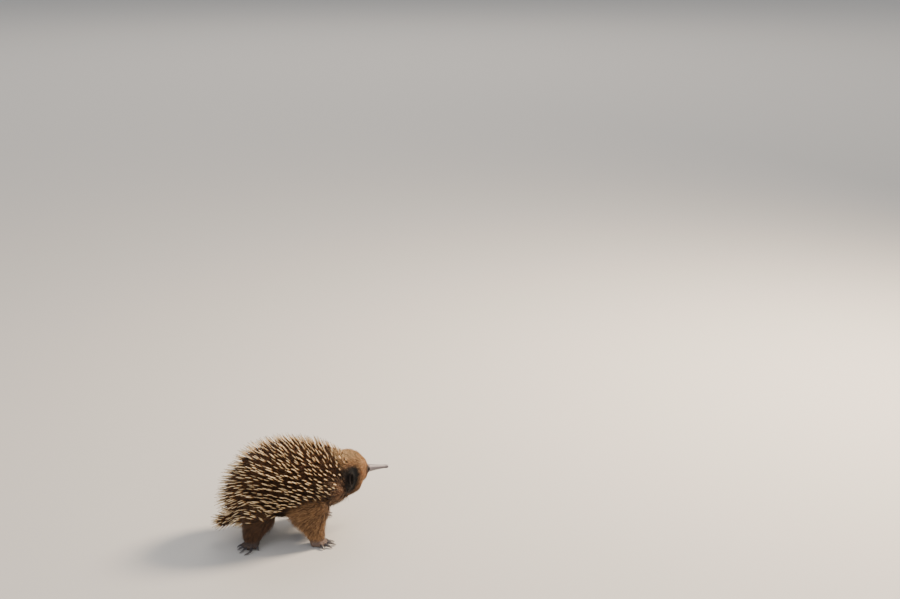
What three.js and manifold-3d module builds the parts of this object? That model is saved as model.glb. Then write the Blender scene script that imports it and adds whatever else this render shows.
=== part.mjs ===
// A short-beaked echidna of the heavily furred island form, life size, as a still
// model: it stands on four feet and turns its head a little to its left.
// Millimetres, +Z up, nose towards +X, the animal's left towards +Y, floor at z = 0.
import * as THREE from "three";
import { mergeVertices } from "three/addons/utils/BufferGeometryUtils.js";
import Module from "manifold-3d";

const wasm = await Module();
wasm.setup();

const touchGap = 0.3; // between two pieces that meet
const clawLift = 0.5; // the lowest that a claw reaches over the floor

const upward = new THREE.Vector3(0, 0, 1);
const forward = new THREE.Vector3(1, 0, 0);
const conePoint = new THREE.Vector3(0, 1, 0);
const toRadians = THREE.MathUtils.degToRad;
const toDegrees = THREE.MathUtils.radToDeg;

// A form is a run of stations from its rear or top to its front or foot, each with the
// middle's x, y, z and three half sizes: to each side, above and below.
// Its ends are rounded off over the cap lengths.

// Rump, loins, back, shoulders, neck and head in one line, to be parted later
const bodyForm = makeForm({
  stations: [
    [-98, 0, 66, 50, 51, 36],
    [-78, 0, 90, 68, 67, 54],
    [-46, 0, 108, 81, 82, 64],
    [-8, 0, 114, 83, 84, 67],
    [38, 0, 116, 76, 77, 64],
    [80, 4, 119, 61, 63, 56],
    [108, 12, 122, 48, 53, 50],
    [130, 22, 124.5, 41, 46, 45],
    [148, 30, 123, 27, 31, 29],
  ],
  rearCap: 26,
  frontCap: 13,
});

const beakForm = makeForm({
  stations: [
    [150, 31, 122.5, 10.5, 10, 10],
    [166, 38, 120.5, 8.6, 8.2, 8.2],
    [183, 45.5, 118, 6.2, 5.6, 5.6],
    [199, 52.5, 115.5, 4.6, 4, 4],
    [207, 56, 114, 4.4, 3.8, 3.6],
  ],
  rearCap: 4,
  frontCap: 4,
});

const tailForm = makeForm({
  stations: [
    [-114, 0, 52, 19, 16, 14],
    [-133, 0, 44, 15, 13, 11],
    [-148, 0, 37, 11, 9, 8],
  ],
  rearCap: 6,
  frontCap: 8,
});

// Legs run downwards, so their half sizes are across, ahead and behind
const legForms = {
  foreleg_right: makeLeg([
    [28, -44, 92, 30, 50, 54],
    [32, -60, 66, 26, 40, 44],
    [37, -70, 38, 19, 24, 25],
    [40, -73, 18, 16, 17, 17],
    [41, -74, 8, 15, 15, 15],
  ]),
  foreleg_left: makeLeg([
    [34, 44, 92, 30, 50, 54],
    [40, 60, 66, 26, 39, 43],
    [46, 70, 38, 19, 24, 25],
    [49, 73, 18, 16, 17, 17],
    [50, 74, 8, 15, 15, 15],
  ]),
  hindleg_right: makeLeg([
    [-74, -38, 88, 32, 44, 36],
    [-80, -49, 60, 28, 38, 32],
    [-88, -55, 36, 20, 26, 24],
    [-92, -57, 19, 16, 18, 18],
    [-93, -58, 8, 15, 15, 15],
  ]),
  hindleg_left: makeLeg([
    [-58, 38, 88, 32, 42, 40],
    [-59, 49, 60, 28, 36, 34],
    [-61, 55, 36, 20, 25, 25],
    [-63, 57, 19, 16, 18, 18],
    [-64, 58, 8, 15, 15, 15],
  ]),
};

// Feet: how far the pad reaches behind and ahead of the ankle, its half width and
// height, and for each toe, from the inner one out, the angle from the foot's own line
// and the claw's length, half width and bend
const frontPad = {
  behind: 14,
  ahead: 18,
  halfWidth: 19,
  height: 16,
  claws: [
    { angle: -54, length: 12, halfWidth: 2.9, bend: 0 },
    { angle: -26, length: 17, halfWidth: 3.8, bend: 0 },
    { angle: 0, length: 18, halfWidth: 4, bend: 0 },
    { angle: 26, length: 17, halfWidth: 3.8, bend: 0 },
    { angle: 54, length: 11, halfWidth: 2.9, bend: 0 },
  ],
};
const hindPad = {
  behind: 13,
  ahead: 20,
  halfWidth: 17,
  height: 15,
  claws: [
    { angle: -62, length: 7, halfWidth: 2.2, bend: 0 },
    { angle: -31, length: 26, halfWidth: 2.8, bend: 26 },
    { angle: -3, length: 18, halfWidth: 2.8, bend: 14 },
    { angle: 22, length: 12, halfWidth: 2.5, bend: 8 },
    { angle: 48, length: 9, halfWidth: 2.3, bend: 0 },
  ],
};
const knuckle = { radius: 4.6, height: 6.2 };
const feet = {
  foreleg_right: { ankle: [41, -74], heading: -14, mirror: 1, pad: frontPad },
  foreleg_left: { ankle: [50, 74], heading: 14, mirror: -1, pad: frontPad },
  hindleg_right: { ankle: [-93, -58], heading: -128, mirror: 1, pad: hindPad },
  hindleg_left: { ankle: [-64, 58], heading: 122, mirror: -1, pad: hindPad },
};

// The body is parted square to its line at these shares of the line
const napeShare = 0.5;
const crownShare = 0.66;

// Places on the head: share of the body's line and degrees from the top of the head
const eye = { share: 1.36, round: 78, radius: 4.1, sunk: 1.6 };
const lid = { ring: 4.7, thickness: 1.3 };
const ear = { share: 0.755, round: 89, halfTall: 14, halfWide: 5, depth: 8, lip: 3 };
const nostril = { back: 1.5, aside: 1.9, above: 3.2, radius: 0.9 };
const mouth = { length: 15, gap: 0.7, below: 1.5 };

// Spines stand a gap apart in staggered rows from the rump's end to the crown
const spine = {
  gap: 13.2,
  rowShare: 0.88,
  sides: 5,
  radius: 2,
  sunk: 6,
  scatter: 0.3,
  stray: 0.08,
  loose: 0.12, // of the length
};
// They lean from the skin's normal into a backward sweep, which rises with the place:
// more on the flanks than over the back, and falling off to the rump's end
const sweepRise = { back: 0.36, flank: 0.8, end: -0.3, from: -64, to: -124 };
const flankLean = 9; // degrees more on the flanks than over the back
const flankZone = { from: 55, to: 115 }; // degrees from the top
// [share of the body's line, length that shows, degrees of lean, lowest place in degrees
// from the top]
const spineStations = [
  [-1, 28, 40, 170],
  [0, 27, 47, 160],
  [0.16, 28, 50, 130],
  [0.36, 28, 50, 114],
  [0.56, 28, 45, 112],
  [0.68, 24, 37, 96],
];
const skirt = { from: 0.7, shortening: 0.22 }; // shares of the way down and of the length
const tailSpines = {
  rows: [0.35, 0.75, 1.25],
  across: [-70, -24, 24, 70],
  stray: 8, // degrees
  lean: 45,
  shown: 22,
  radius: 1.8,
  sunk: 5,
};
const seamClear = { behind: 4.5, ahead: 7, loose: 1.5 }; // the rows nearest to a parting plane
const spineClear = 1.8; // a spine's side to another node
const seed = 20931;

const looks = {
  coat: { color: 0x5a4330, roughness: 0.9 },
  face: { color: 0xa07c58, roughness: 0.85 },
  leg: { color: 0x6b4b30, roughness: 0.9 },
  beak: { color: 0x6e6262, roughness: 0.45 },
  claw: { color: 0x3b3634, roughness: 0.4 },
  eye: { color: 0x0d0a09, roughness: 0.08 },
};

const group = new THREE.Group();

// Forms and the places on them

function makeForm({ stations, over = upward, rearCap, frontCap }) {
  const places = stations.map(([x, y, z]) => new THREE.Vector3(x, y, z));
  const sizes = stations.map((station) => new THREE.Vector3(...station.slice(3)));
  return {
    line: new THREE.CatmullRomCurve3(places, false, "catmullrom"),
    halves: new THREE.CatmullRomCurve3(sizes, false, "catmullrom"),
    over,
    rearCap,
    frontCap,
  };
}

function makeLeg(stations) {
  return makeForm({ stations, over: forward, rearCap: 12, frontCap: 5 });
}

// A place on a form: share runs from 0 to 1 along its line, down to -1 over the rear
// cap and up to 2 over the front cap; round is the angle from the top to the left
function frameOf(form, share) {
  const inLine = THREE.MathUtils.clamp(share, 0, 1);
  const ahead = form.line.getTangent(inLine);
  const side = new THREE.Vector3().crossVectors(form.over, ahead).normalize();
  return {
    middle: form.line.getPoint(inLine),
    halves: form.halves.getPoint(inLine),
    ahead,
    side,
    above: new THREE.Vector3().crossVectors(ahead, side),
    past: (Math.PI / 2) * Math.max(-share, share - 1, 0),
    cap: share < 0 ? -form.rearCap : form.frontCap,
  };
}

function pointOn(form, share, round, grow = 0) {
  const { middle, halves, ahead, side, above, past, cap } = frameOf(form, share);
  const height = Math.cos(round) > 0 ? halves.y : halves.z;
  const shrink = Math.cos(past);
  return middle
    .addScaledVector(ahead, (cap + Math.sign(cap) * grow) * Math.sin(past))
    .addScaledVector(side, (halves.x + grow) * Math.sin(round) * shrink)
    .addScaledVector(above, (height + grow) * Math.cos(round) * shrink);
}

function normalOn(form, share, round) {
  const step = 0.002;
  const along = pointOn(form, share + step, round).sub(pointOn(form, share - step, round));
  const across = pointOn(form, share, round + step).sub(pointOn(form, share, round - step));
  return along.cross(across).normalize();
}

// Whether a point lies in a form grown by a distance
function liesIn(form, point, grow) {
  const samples = 24;
  const slab = form.line.getLength() / samples;
  for (let i = -samples; i <= 2 * samples; i++) {
    const { middle, halves, ahead, side, above, past, cap } = frameOf(form, i / samples);
    const away = point.clone().sub(middle).addScaledVector(ahead, -cap * Math.sin(past));
    if (Math.abs(away.dot(ahead)) > slab + grow * Math.sin(past)) continue;
    const high = away.dot(above);
    const wide = halves.x * Math.cos(past) + grow;
    const tall = (high > 0 ? halves.y : halves.z) * Math.cos(past) + grow;
    if (Math.hypot(away.dot(side) / wide, high / tall) < 1) return true;
  }
  return false;
}

// Solids

// The closed skin of a form, grown by a distance
function loft(form, { steps, sides, capSteps = 3, grow = 0 }) {
  const shares = [];
  for (let i = 1 - capSteps; i < 0; i++) shares.push(i / capSteps);
  for (let i = 0; i <= steps; i++) shares.push(i / steps);
  for (let i = 1; i < capSteps; i++) shares.push(1 + i / capSteps);
  const points = [pointOn(form, -1, 0, grow)];
  for (const share of shares) {
    for (let j = 0; j < sides; j++) {
      points.push(pointOn(form, share, (2 * Math.PI * j) / sides, grow));
    }
  }
  points.push(pointOn(form, 2, 0, grow));
  const faces = [];
  const last = points.length - 1;
  const lastRing = 1 + (shares.length - 1) * sides;
  for (let j = 0; j < sides; j++) {
    const next = (j + 1) % sides;
    faces.push(0, 1 + j, 1 + next);
    faces.push(last, lastRing + next, lastRing + j);
    for (let i = 0; i < shares.length - 1; i++) {
      const ring = 1 + i * sides;
      faces.push(ring + j, ring + sides + j, ring + sides + next);
      faces.push(ring + j, ring + sides + next, ring + next);
    }
  }
  const geometry = new THREE.BufferGeometry().setFromPoints(points);
  geometry.setIndex(faces);
  return solidOf(geometry);
}

function solidOf(geometry) {
  geometry.deleteAttribute("normal");
  geometry.deleteAttribute("uv");
  const merged = mergeVertices(geometry);
  const mesh = new wasm.Mesh({
    numProp: 3,
    vertProperties: new Float32Array(merged.attributes.position.array),
    triVerts: Uint32Array.from(merged.index.array),
  });
  return new wasm.Manifold(mesh);
}

function geometryOf(solid) {
  const { vertProperties, triVerts } = solid.getMesh();
  const geometry = new THREE.BufferGeometry();
  geometry.setAttribute("position", new THREE.BufferAttribute(vertProperties, 3));
  geometry.setIndex(new THREE.BufferAttribute(triVerts, 1));
  geometry.computeVertexNormals();
  return geometry;
}

function joinAll(solids) {
  return wasm.Manifold.union(solids);
}

// The largest closed surface of a solid
function wholeOf(solid) {
  const pieces = solid.decompose();
  pieces.sort((one, other) => other.volume() - one.volume());
  return pieces[0];
}

function pastPlane(share, point) {
  const { middle, ahead } = frameOf(bodyForm, share);
  return point.clone().sub(middle).dot(ahead);
}

// The part of a solid that lies ahead of (1) or behind (-1) a place on the body's line
function partAt(solid, share, towards) {
  const { middle, ahead } = frameOf(bodyForm, share);
  const facing = ahead.clone().multiplyScalar(towards);
  return solid.trimByPlane(facing.toArray(), facing.dot(middle) + touchGap / 2);
}

function aboveLevel(solid, level) {
  return solid.trimByPlane(upward.toArray(), level);
}

function ball(centre, radius, parts) {
  const geometry = new THREE.SphereGeometry(radius, parts, Math.round(parts * 0.6));
  geometry.translate(centre.x, centre.y, centre.z);
  return solidOf(geometry);
}

function add(name, solid, look) {
  const material = new THREE.MeshStandardMaterial({ ...looks[look], metalness: 0 });
  const mesh = new THREE.Mesh(geometryOf(wholeOf(solid)), material);
  mesh.name = name;
  group.add(mesh);
}

const bodyMesh = { steps: 20, sides: 32 };
const body = loft(bodyForm, bodyMesh);
const bodyClear = loft(bodyForm, { ...bodyMesh, grow: touchGap });

// Spines

let drawn = seed;
function draw() {
  drawn = (drawn + 0x6d2b79f5) | 0;
  let mixed = Math.imul(drawn ^ (drawn >>> 15), 1 | drawn);
  mixed = (mixed + Math.imul(mixed ^ (mixed >>> 7), 61 | mixed)) ^ mixed;
  return ((mixed ^ (mixed >>> 14)) >>> 0) / 4294967296;
}

// A draw between -1 and 1
function stray() {
  return 2 * draw() - 1;
}

function spineValues(share) {
  const next = Math.max(1, spineStations.findIndex(([place]) => place >= share));
  const [from, to] = [spineStations[next - 1], spineStations[next]];
  const blend = THREE.MathUtils.smoothstep(share, from[0], to[0]);
  const [shown, lean, lowest] = [1, 2, 3].map((i) => THREE.MathUtils.lerp(from[i], to[i], blend));
  return { shown, lean: toRadians(lean), lowest: toRadians(lowest) };
}

// flank is 0 over the back and 1 on the lower flanks
function makeSpine(root, out, lean, flank, shown, radius, sunk) {
  const { lerp, smoothstep } = THREE.MathUtils;
  const atEnd = 1 - smoothstep(root.x, sweepRise.to, sweepRise.from);
  const ahead = lerp(sweepRise.back, sweepRise.flank, flank);
  const rise = lerp(ahead, sweepRise.end, atEnd);
  const sweep = new THREE.Vector3(-1, 0, rise).normalize();
  const leaned = lean + toRadians(flankLean) * flank * (1 - atEnd);
  const way = out.clone().multiplyScalar(Math.cos(leaned)).addScaledVector(sweep, Math.sin(leaned));
  way.add(new THREE.Vector3(stray(), stray(), stray()).multiplyScalar(spine.stray)).normalize();
  return {
    radius,
    root,
    line: new THREE.Line3(
      root.clone().addScaledVector(way, -sunk),
      root.clone().addScaledVector(way, shown),
    ),
  };
}

function spineSolid({ line, radius }) {
  const long = line.distance();
  const cone = new THREE.ConeGeometry(radius, long, spine.sides, 1);
  const way = line.delta(new THREE.Vector3()).normalize();
  cone.applyQuaternion(new THREE.Quaternion().setFromUnitVectors(conePoint, way));
  const middle = line.getCenter(new THREE.Vector3());
  cone.translate(middle.x, middle.y, middle.z);
  return solidOf(cone);
}

function meets({ line, radius }, form) {
  const samples = 10;
  for (let i = 2; i <= samples; i++) {
    const share = i / samples;
    const point = line.at(share, new THREE.Vector3());
    if (liesIn(form, point, radius * (1 - share) + spineClear)) return true;
  }
  return false;
}

function thicknessAt({ line, radius }, point) {
  return radius * (1 - line.start.distanceTo(point) / line.distance());
}

function clearOf(one, others) {
  const near = new THREE.Vector3();
  const nearOther = new THREE.Vector3();
  return others.every((other) => {
    const distance = Math.sqrt(one.line.distanceSqToLine3(other.line, near, nearOther));
    return distance > thicknessAt(one, near) + thicknessAt(other, nearOther) + 2 * touchGap;
  });
}

// Places round one row, a gap apart by the length of the row's own arc
function rowPlaces(share, lowest, shift) {
  const samples = 60;
  const rounds = [];
  const lengths = [0];
  for (let i = 0; i <= samples; i++) rounds.push(-lowest + (2 * lowest * i) / samples);
  const points = rounds.map((round) => pointOn(bodyForm, share, round));
  for (let i = 1; i <= samples; i++) {
    lengths.push(lengths[i - 1] + points[i].distanceTo(points[i - 1]));
  }
  const total = lengths[samples];
  const count = Math.max(1, Math.round(total / spine.gap));
  const places = [];
  for (let k = 0; k < count; k++) {
    const target = (total * (k + 0.25 + 0.5 * shift)) / count;
    const next = lengths.findIndex((length) => length >= target);
    const blend = (target - lengths[next - 1]) / (lengths[next] - lengths[next - 1]);
    places.push(THREE.MathUtils.lerp(rounds[next - 1], rounds[next], blend));
  }
  return places;
}

// Shares of the body's line for the rows, worked out from the distance along the flank:
// both ways from the nape's parting plane, so that none stands on it
function rowShares() {
  const step = 0.005;
  const steps = [];
  let distance = 0;
  for (let share = -0.94; share < crownShare; share += step) {
    steps.push({ share, distance });
    distance += pointOn(bodyForm, share + step, 1).distanceTo(pointOn(bodyForm, share, 1));
  }
  const shareAt = (target) => steps.find((place) => place.distance >= target)?.share;
  const atNape = steps.find(({ share }) => share >= napeShare).distance;
  const rowGap = spine.gap * spine.rowShare;
  const end = distance - seamClear.behind;
  const rows = [];
  for (let at = atNape - seamClear.behind; at > 0; at -= rowGap) rows.unshift(shareAt(at));
  for (let at = atNape + seamClear.ahead; at < end; at += rowGap) rows.push(shareAt(at));
  return rows;
}

function plantSpines() {
  const { smoothstep } = THREE.MathUtils;
  const planted = [];
  const obstacles = [tailForm, ...Object.values(legForms)];
  const perShare = pointOn(bodyForm, 0.5, 1).distanceTo(pointOn(bodyForm, 0.4, 1)) / 0.1;
  rowShares().forEach((share, row) => {
    const { shown, lean, lowest } = spineValues(share);
    for (const place of rowPlaces(share, lowest, row % 2)) {
      const loose = (spine.scatter * spine.gap) / 2;
      const at = share + (stray() * seamClear.loose) / perShare;
      const round = place + (stray() * loose) / bodyForm.halves.getPoint(0.4).x;
      const low = smoothstep(Math.abs(place) / lowest, skirt.from, 1);
      const long = shown * (1 - skirt.shortening * low) * (1 + spine.loose * stray());
      const flank = smoothstep(toDegrees(Math.abs(place)), flankZone.from, flankZone.to);
      const root = pointOn(bodyForm, at, round);
      const out = normalOn(bodyForm, at, round);
      const one = makeSpine(root, out, lean, flank, long, spine.radius, spine.sunk);
      if (!obstacles.some((form) => meets(one, form))) planted.push(one);
    }
  });
  return planted;
}

const planted = plantSpines();
const torsoSpines = planted.filter(({ root }) => pastPlane(napeShare, root) < 0);
const neckSpines = planted.filter((one) => {
  return pastPlane(napeShare, one.root) > 0 && clearOf(one, torsoSpines);
});

const spined = joinAll([body, ...torsoSpines.map(spineSolid)]);
add("torso", partAt(spined, napeShare, -1), "coat");

const neckFlesh = partAt(body, napeShare, 1);
const neck = joinAll([neckFlesh, ...neckSpines.map(spineSolid)]);
add("neck", partAt(neck, crownShare, -1), "coat");

// Tail: a short stub that carries a few spines of its own
const stub = loft(tailForm, { steps: 4, sides: 12, capSteps: 2 });
const stubSpines = [];
for (const share of tailSpines.rows) {
  for (const degrees of tailSpines.across) {
    const { lean, shown, radius, sunk } = tailSpines;
    const round = toRadians(degrees + tailSpines.stray * stray());
    const root = pointOn(tailForm, share, round);
    const out = normalOn(tailForm, share, round);
    const one = makeSpine(root, out, toRadians(lean), 0, shown, radius, sunk);
    const outside = !liesIn(bodyForm, root, seamClear.ahead);
    if (outside && clearOf(one, torsoSpines)) stubSpines.push(one);
  }
}
add("tail", joinAll([stub, ...stubSpines.map(spineSolid)]).subtract(bodyClear), "coat");

// Legs with feet, and their claws

function clawForm(root, heading, { length, halfWidth, bend }) {
  const station = (share, turn, drop, wide, tall) => {
    const turned = toRadians(heading + turn);
    const reach = knuckle.radius + length * share;
    return [
      root.x + reach * Math.cos(turned),
      root.y + reach * Math.sin(turned),
      root.z - drop,
      halfWidth * wide,
      tall,
      tall,
    ];
  };
  return makeForm({
    stations: [
      [...root.toArray(), halfWidth, 2.4, 2.4],
      station(0.1, 0, 0, 1, 2.2),
      station(0.55, bend * 0.3, 1.7, 0.85, 1.7),
      station(0.94, bend, 4.2, 0.4, 0.8),
    ],
    rearCap: 1,
    frontCap: 1,
  });
}

function makeLimb(name) {
  const { ankle, heading, mirror, pad } = feet[name];
  const onFoot = (angle, reach, height) => {
    const turned = toRadians(heading + angle);
    return [ankle[0] + reach * Math.cos(turned), ankle[1] + reach * Math.sin(turned), height];
  };
  const padStation = (reach, wide, tall) => [
    ...onFoot(0, reach, pad.height * 0.42),
    pad.halfWidth * wide,
    pad.height * tall,
    pad.height * 0.6,
  ];
  const padForm = makeForm({
    stations: [
      padStation(-pad.behind * 0.6, 0.78, 0.55),
      padStation(0, 0.92, 0.56),
      padStation(pad.ahead * 0.55, 1, 0.42),
      padStation(pad.ahead, 0.86, 0.26),
    ],
    rearCap: pad.behind * 0.4,
    frontCap: 5,
  });
  const toes = pad.claws.map(({ angle }) => {
    const spread = pad.ahead * (1 - 0.12 * Math.abs(Math.sin(toRadians(angle))));
    return new THREE.Vector3(...onFoot(-angle * mirror, spread, knuckle.height));
  });
  const fleshOf = (grow) => joinAll([
    loft(legForms[name], { steps: 6, sides: 12, capSteps: 2, grow }),
    loft(padForm, { steps: 4, sides: 14, capSteps: 2, grow }),
    ...toes.map((toe) => ball(toe, knuckle.radius + grow, 8)),
  ]);
  add(name, aboveLevel(fleshOf(0).subtract(bodyClear), 0), "leg");
  const fleshClear = fleshOf(touchGap);
  const clawName = name.replace("leg", "claw");
  pad.claws.forEach((claw, index) => {
    const turned = { ...claw, bend: -claw.bend * mirror };
    const form = clawForm(toes[index], heading - claw.angle * mirror, turned);
    const horn = loft(form, { steps: 4, sides: 8, capSteps: 1 }).subtract(fleshClear);
    add(`${clawName}_${index + 1}`, aboveLevel(horn, clawLift), "claw");
  });
}

for (const name of Object.keys(feet)) makeLimb(name);

// Head: the eyes in their sockets under ringed lids, and the ears' cups and folds

function onHead(place, side) {
  const round = -side * toRadians(place.round);
  return {
    centre: pointOn(bodyForm, place.share, round),
    out: normalOn(bodyForm, place.share, round),
  };
}

function lidRing(centre, out) {
  const ring = new THREE.TorusGeometry(lid.ring, lid.thickness, 6, 14);
  ring.applyQuaternion(new THREE.Quaternion().setFromUnitVectors(upward, out));
  ring.translate(centre.x, centre.y, centre.z);
  return solidOf(ring);
}

// The way up and the way back along the skin at an ear
function earWays(out) {
  const tall = upward.clone().addScaledVector(out, -out.z).normalize();
  const back = new THREE.Vector3().crossVectors(tall, out);
  if (back.x > 0) back.negate();
  return { tall, back };
}

function earCup(centre, out) {
  const { tall } = earWays(out);
  const cup = new THREE.SphereGeometry(1, 12, 8);
  cup.scale(ear.halfWide, ear.halfTall, ear.depth);
  const across = new THREE.Vector3().crossVectors(tall, out);
  cup.applyMatrix4(new THREE.Matrix4().makeBasis(across, tall, out));
  cup.translate(centre.x, centre.y, centre.z);
  return solidOf(cup);
}

// A crescent of skin round the back of the ear's opening
function earFold(centre, out) {
  const { tall, back } = earWays(out);
  const stations = [];
  for (let degrees = -75; degrees <= 75; degrees += 25) {
    const angle = toRadians(degrees);
    const thick = ear.lip * (0.7 + 0.3 * Math.cos(angle));
    const place = centre
      .clone()
      .addScaledVector(tall, Math.sin(angle) * (ear.halfTall + ear.lip * 0.5))
      .addScaledVector(back, Math.cos(angle) * (ear.halfWide + ear.lip * 0.85))
      .addScaledVector(out, ear.lip * 0.25);
    stations.push([...place.toArray(), thick * 0.75, thick, thick]);
  }
  const foldForm = makeForm({ stations, over: out, rearCap: 2, frontCap: 2 });
  return loft(foldForm, { steps: 9, sides: 8, capSteps: 1 });
}

let head = partAt(body, crownShare, 1);
for (const [side, word] of [[1, "right"], [-1, "left"]]) {
  const { centre, out } = onHead(eye, side);
  const eyeMiddle = centre.clone().addScaledVector(out, -eye.sunk);
  head = head.add(lidRing(centre, out)).subtract(ball(eyeMiddle, eye.radius + touchGap, 12));
  add(`eye_${word}`, ball(eyeMiddle, eye.radius, 12), "eye");
  const opening = onHead(ear, side);
  head = head.subtract(earCup(opening.centre, opening.out));
  add(`ear_${word}`, earFold(opening.centre, opening.out).subtract(bodyClear), "face");
}
add("head", head, "face");

// Beak: a slender snout with a short mouth slit and two nostrils near its tip

const beakTip = beakForm.line.getPoint(1);
const beakAhead = beakForm.line.getTangent(1);
const beakAcross = new THREE.Vector3().crossVectors(upward, beakAhead).normalize();
const slit = new THREE.BoxGeometry(mouth.length * 2, 20, mouth.gap);
slit.applyQuaternion(new THREE.Quaternion().setFromUnitVectors(forward, beakAhead));
const slitPlace = beakTip.clone().addScaledVector(beakAhead, beakForm.frontCap);
slit.translate(slitPlace.x, slitPlace.y, slitPlace.z - mouth.below);
let snout = loft(beakForm, { steps: 8, sides: 14, capSteps: 2 });
snout = snout.subtract(bodyClear).subtract(solidOf(slit));
for (const side of [1, -1]) {
  const place = beakTip.clone().addScaledVector(beakAhead, -nostril.back);
  place.addScaledVector(beakAcross, side * nostril.aside).addScaledVector(upward, nostril.above);
  snout = snout.subtract(ball(place, nostril.radius, 8));
}
add("beak", snout, "beak");

// The origin is on the floor, under the middle of the whole animal
const box = new THREE.Box3().setFromObject(group);
const middle = box.getCenter(new THREE.Vector3());
group.position.set(-middle.x, -middle.y, -box.min.z);

export default group;
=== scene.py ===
import math

import bpy
import numpy as np
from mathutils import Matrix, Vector


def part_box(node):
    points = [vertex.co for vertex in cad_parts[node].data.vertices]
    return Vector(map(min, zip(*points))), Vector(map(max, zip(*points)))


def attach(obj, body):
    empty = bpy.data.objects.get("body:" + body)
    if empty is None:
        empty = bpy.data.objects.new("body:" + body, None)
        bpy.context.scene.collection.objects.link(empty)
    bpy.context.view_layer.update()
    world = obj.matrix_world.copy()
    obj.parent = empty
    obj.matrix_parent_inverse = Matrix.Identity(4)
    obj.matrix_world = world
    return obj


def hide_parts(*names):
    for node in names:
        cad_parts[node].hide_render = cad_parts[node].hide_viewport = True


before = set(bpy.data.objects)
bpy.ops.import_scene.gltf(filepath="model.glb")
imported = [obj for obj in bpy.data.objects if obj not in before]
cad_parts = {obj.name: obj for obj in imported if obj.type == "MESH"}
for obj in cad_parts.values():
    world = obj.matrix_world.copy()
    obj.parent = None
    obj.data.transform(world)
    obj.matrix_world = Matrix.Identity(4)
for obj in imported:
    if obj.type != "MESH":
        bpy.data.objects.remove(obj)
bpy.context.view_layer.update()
print("frame loaded:", len(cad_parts), "nodes")

mm = 0.001
thin = 1
upward = np.array([0.0, 0.0, 1.0])
forward = np.array([1.0, 0.0, 0.0])
sideSigns = {"right": 1, "left": -1}

# Helpers for arrays of points, directions and shares


def unit(vectors):
    return vectors / np.maximum(np.linalg.norm(vectors, axis=-1, keepdims=True), 1e-9)


def dot(one, other):
    return (one * other).sum(-1)


def distance(points, centre):
    return np.linalg.norm(points - centre, axis=1)


def stepsOf(line):
    return np.linalg.norm(np.diff(line, axis=0), axis=1)


def mix(one, other, share):
    return one + (other - one) * share


def blend(one, other, share):
    # the same for rows of numbers, with a share for each row
    return mix(one, other, share[..., None])


def smooth(value, low, high):
    part = np.clip((value - low) / (high - low), 0, 1)
    return part * part * (3 - 2 * part)


def window(value, low, full, past, high):
    # 0 up to low, 1 from full to past, 0 again beyond high
    return smooth(value, low, full) * (1 - smooth(value, past, high))


def linear(colour):
    shown = np.array(colour, float) / 255
    return np.where(shown <= 0.04045, shown / 12.92, ((shown + 0.055) / 1.055) ** 2.4)


def opaque(colour):
    return (*linear(colour), 1)


# Forms: curves through stations, with elliptical sections and a rounded cap at each end


def makeForm(stations, caps, over=upward):
    table = np.array(stations, float) * mm
    caps = np.array(caps, float) * mm
    return {"middles": table[:, :3], "halves": table[:, 3:], "caps": caps, "over": over}


def stationAt(table, share):
    # an even Catmull-Rom curve through the stations
    last = len(table) - 1
    place = np.clip(share, 0, 1) * last
    index = np.minimum(place.astype(int), last - 1)
    part = (place - index)[..., None]
    padded = np.vstack([2 * table[0] - table[1], table, 2 * table[-1] - table[-2]])
    before, start, end, after = (padded[index + step] for step in range(4))
    leaving, coming = (end - before) / 2, (after - start) / 2
    bend = 3 * (end - start) - 2 * leaving - coming
    twist = 2 * (start - end) + leaving + coming
    return start + part * (leaving + part * (bend + part * twist))


def frameOn(form, share):
    middles, inLine, step = form["middles"], np.clip(share, 0, 1), 1e-4
    behind, before = (stationAt(middles, np.clip(inLine + way, 0, 1)) for way in (-step, step))
    ahead = unit(before - behind)
    side = unit(np.cross(form["over"], ahead))
    return {
        "middle": stationAt(middles, inLine),
        "halves": stationAt(form["halves"], inLine),
        "ahead": ahead,
        "side": side,
        "above": np.cross(ahead, side),
    }


def pointOn(form, share, around, grow=0.0):
    # share runs -1 to 0 over the rear cap, 0 to 1 along the line and 1 to 2 over the front
    # cap; around is the angle from the top towards the animal's left
    share, around = np.broadcast_arrays(np.asarray(share, float), np.asarray(around, float))
    place = frameOn(form, share)
    past = math.pi / 2 * np.maximum(np.maximum(-share, share - 1), 0)
    cap = np.where(share < 0, -form["caps"][0] - grow, form["caps"][1] + grow)
    halves = place["halves"]
    tall = np.where(np.cos(around) > 0, halves[..., 1], halves[..., 2])
    wide = (halves[..., 0] + grow) * np.sin(around) * np.cos(past)
    high = (tall + grow) * np.cos(around) * np.cos(past)
    point = place["middle"] + place["ahead"] * (cap * np.sin(past))[..., None]
    return point + place["side"] * wide[..., None] + place["above"] * high[..., None]


def normalOn(form, share, around):
    step = 0.002
    along = pointOn(form, share + step, around) - pointOn(form, share - step, around)
    across = pointOn(form, share, around + step) - pointOn(form, share, around - step)
    return unit(np.cross(along, across))


def surfaceOn(form, share, around):
    return pointOn(form, share, around), normalOn(form, share, around)


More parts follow.
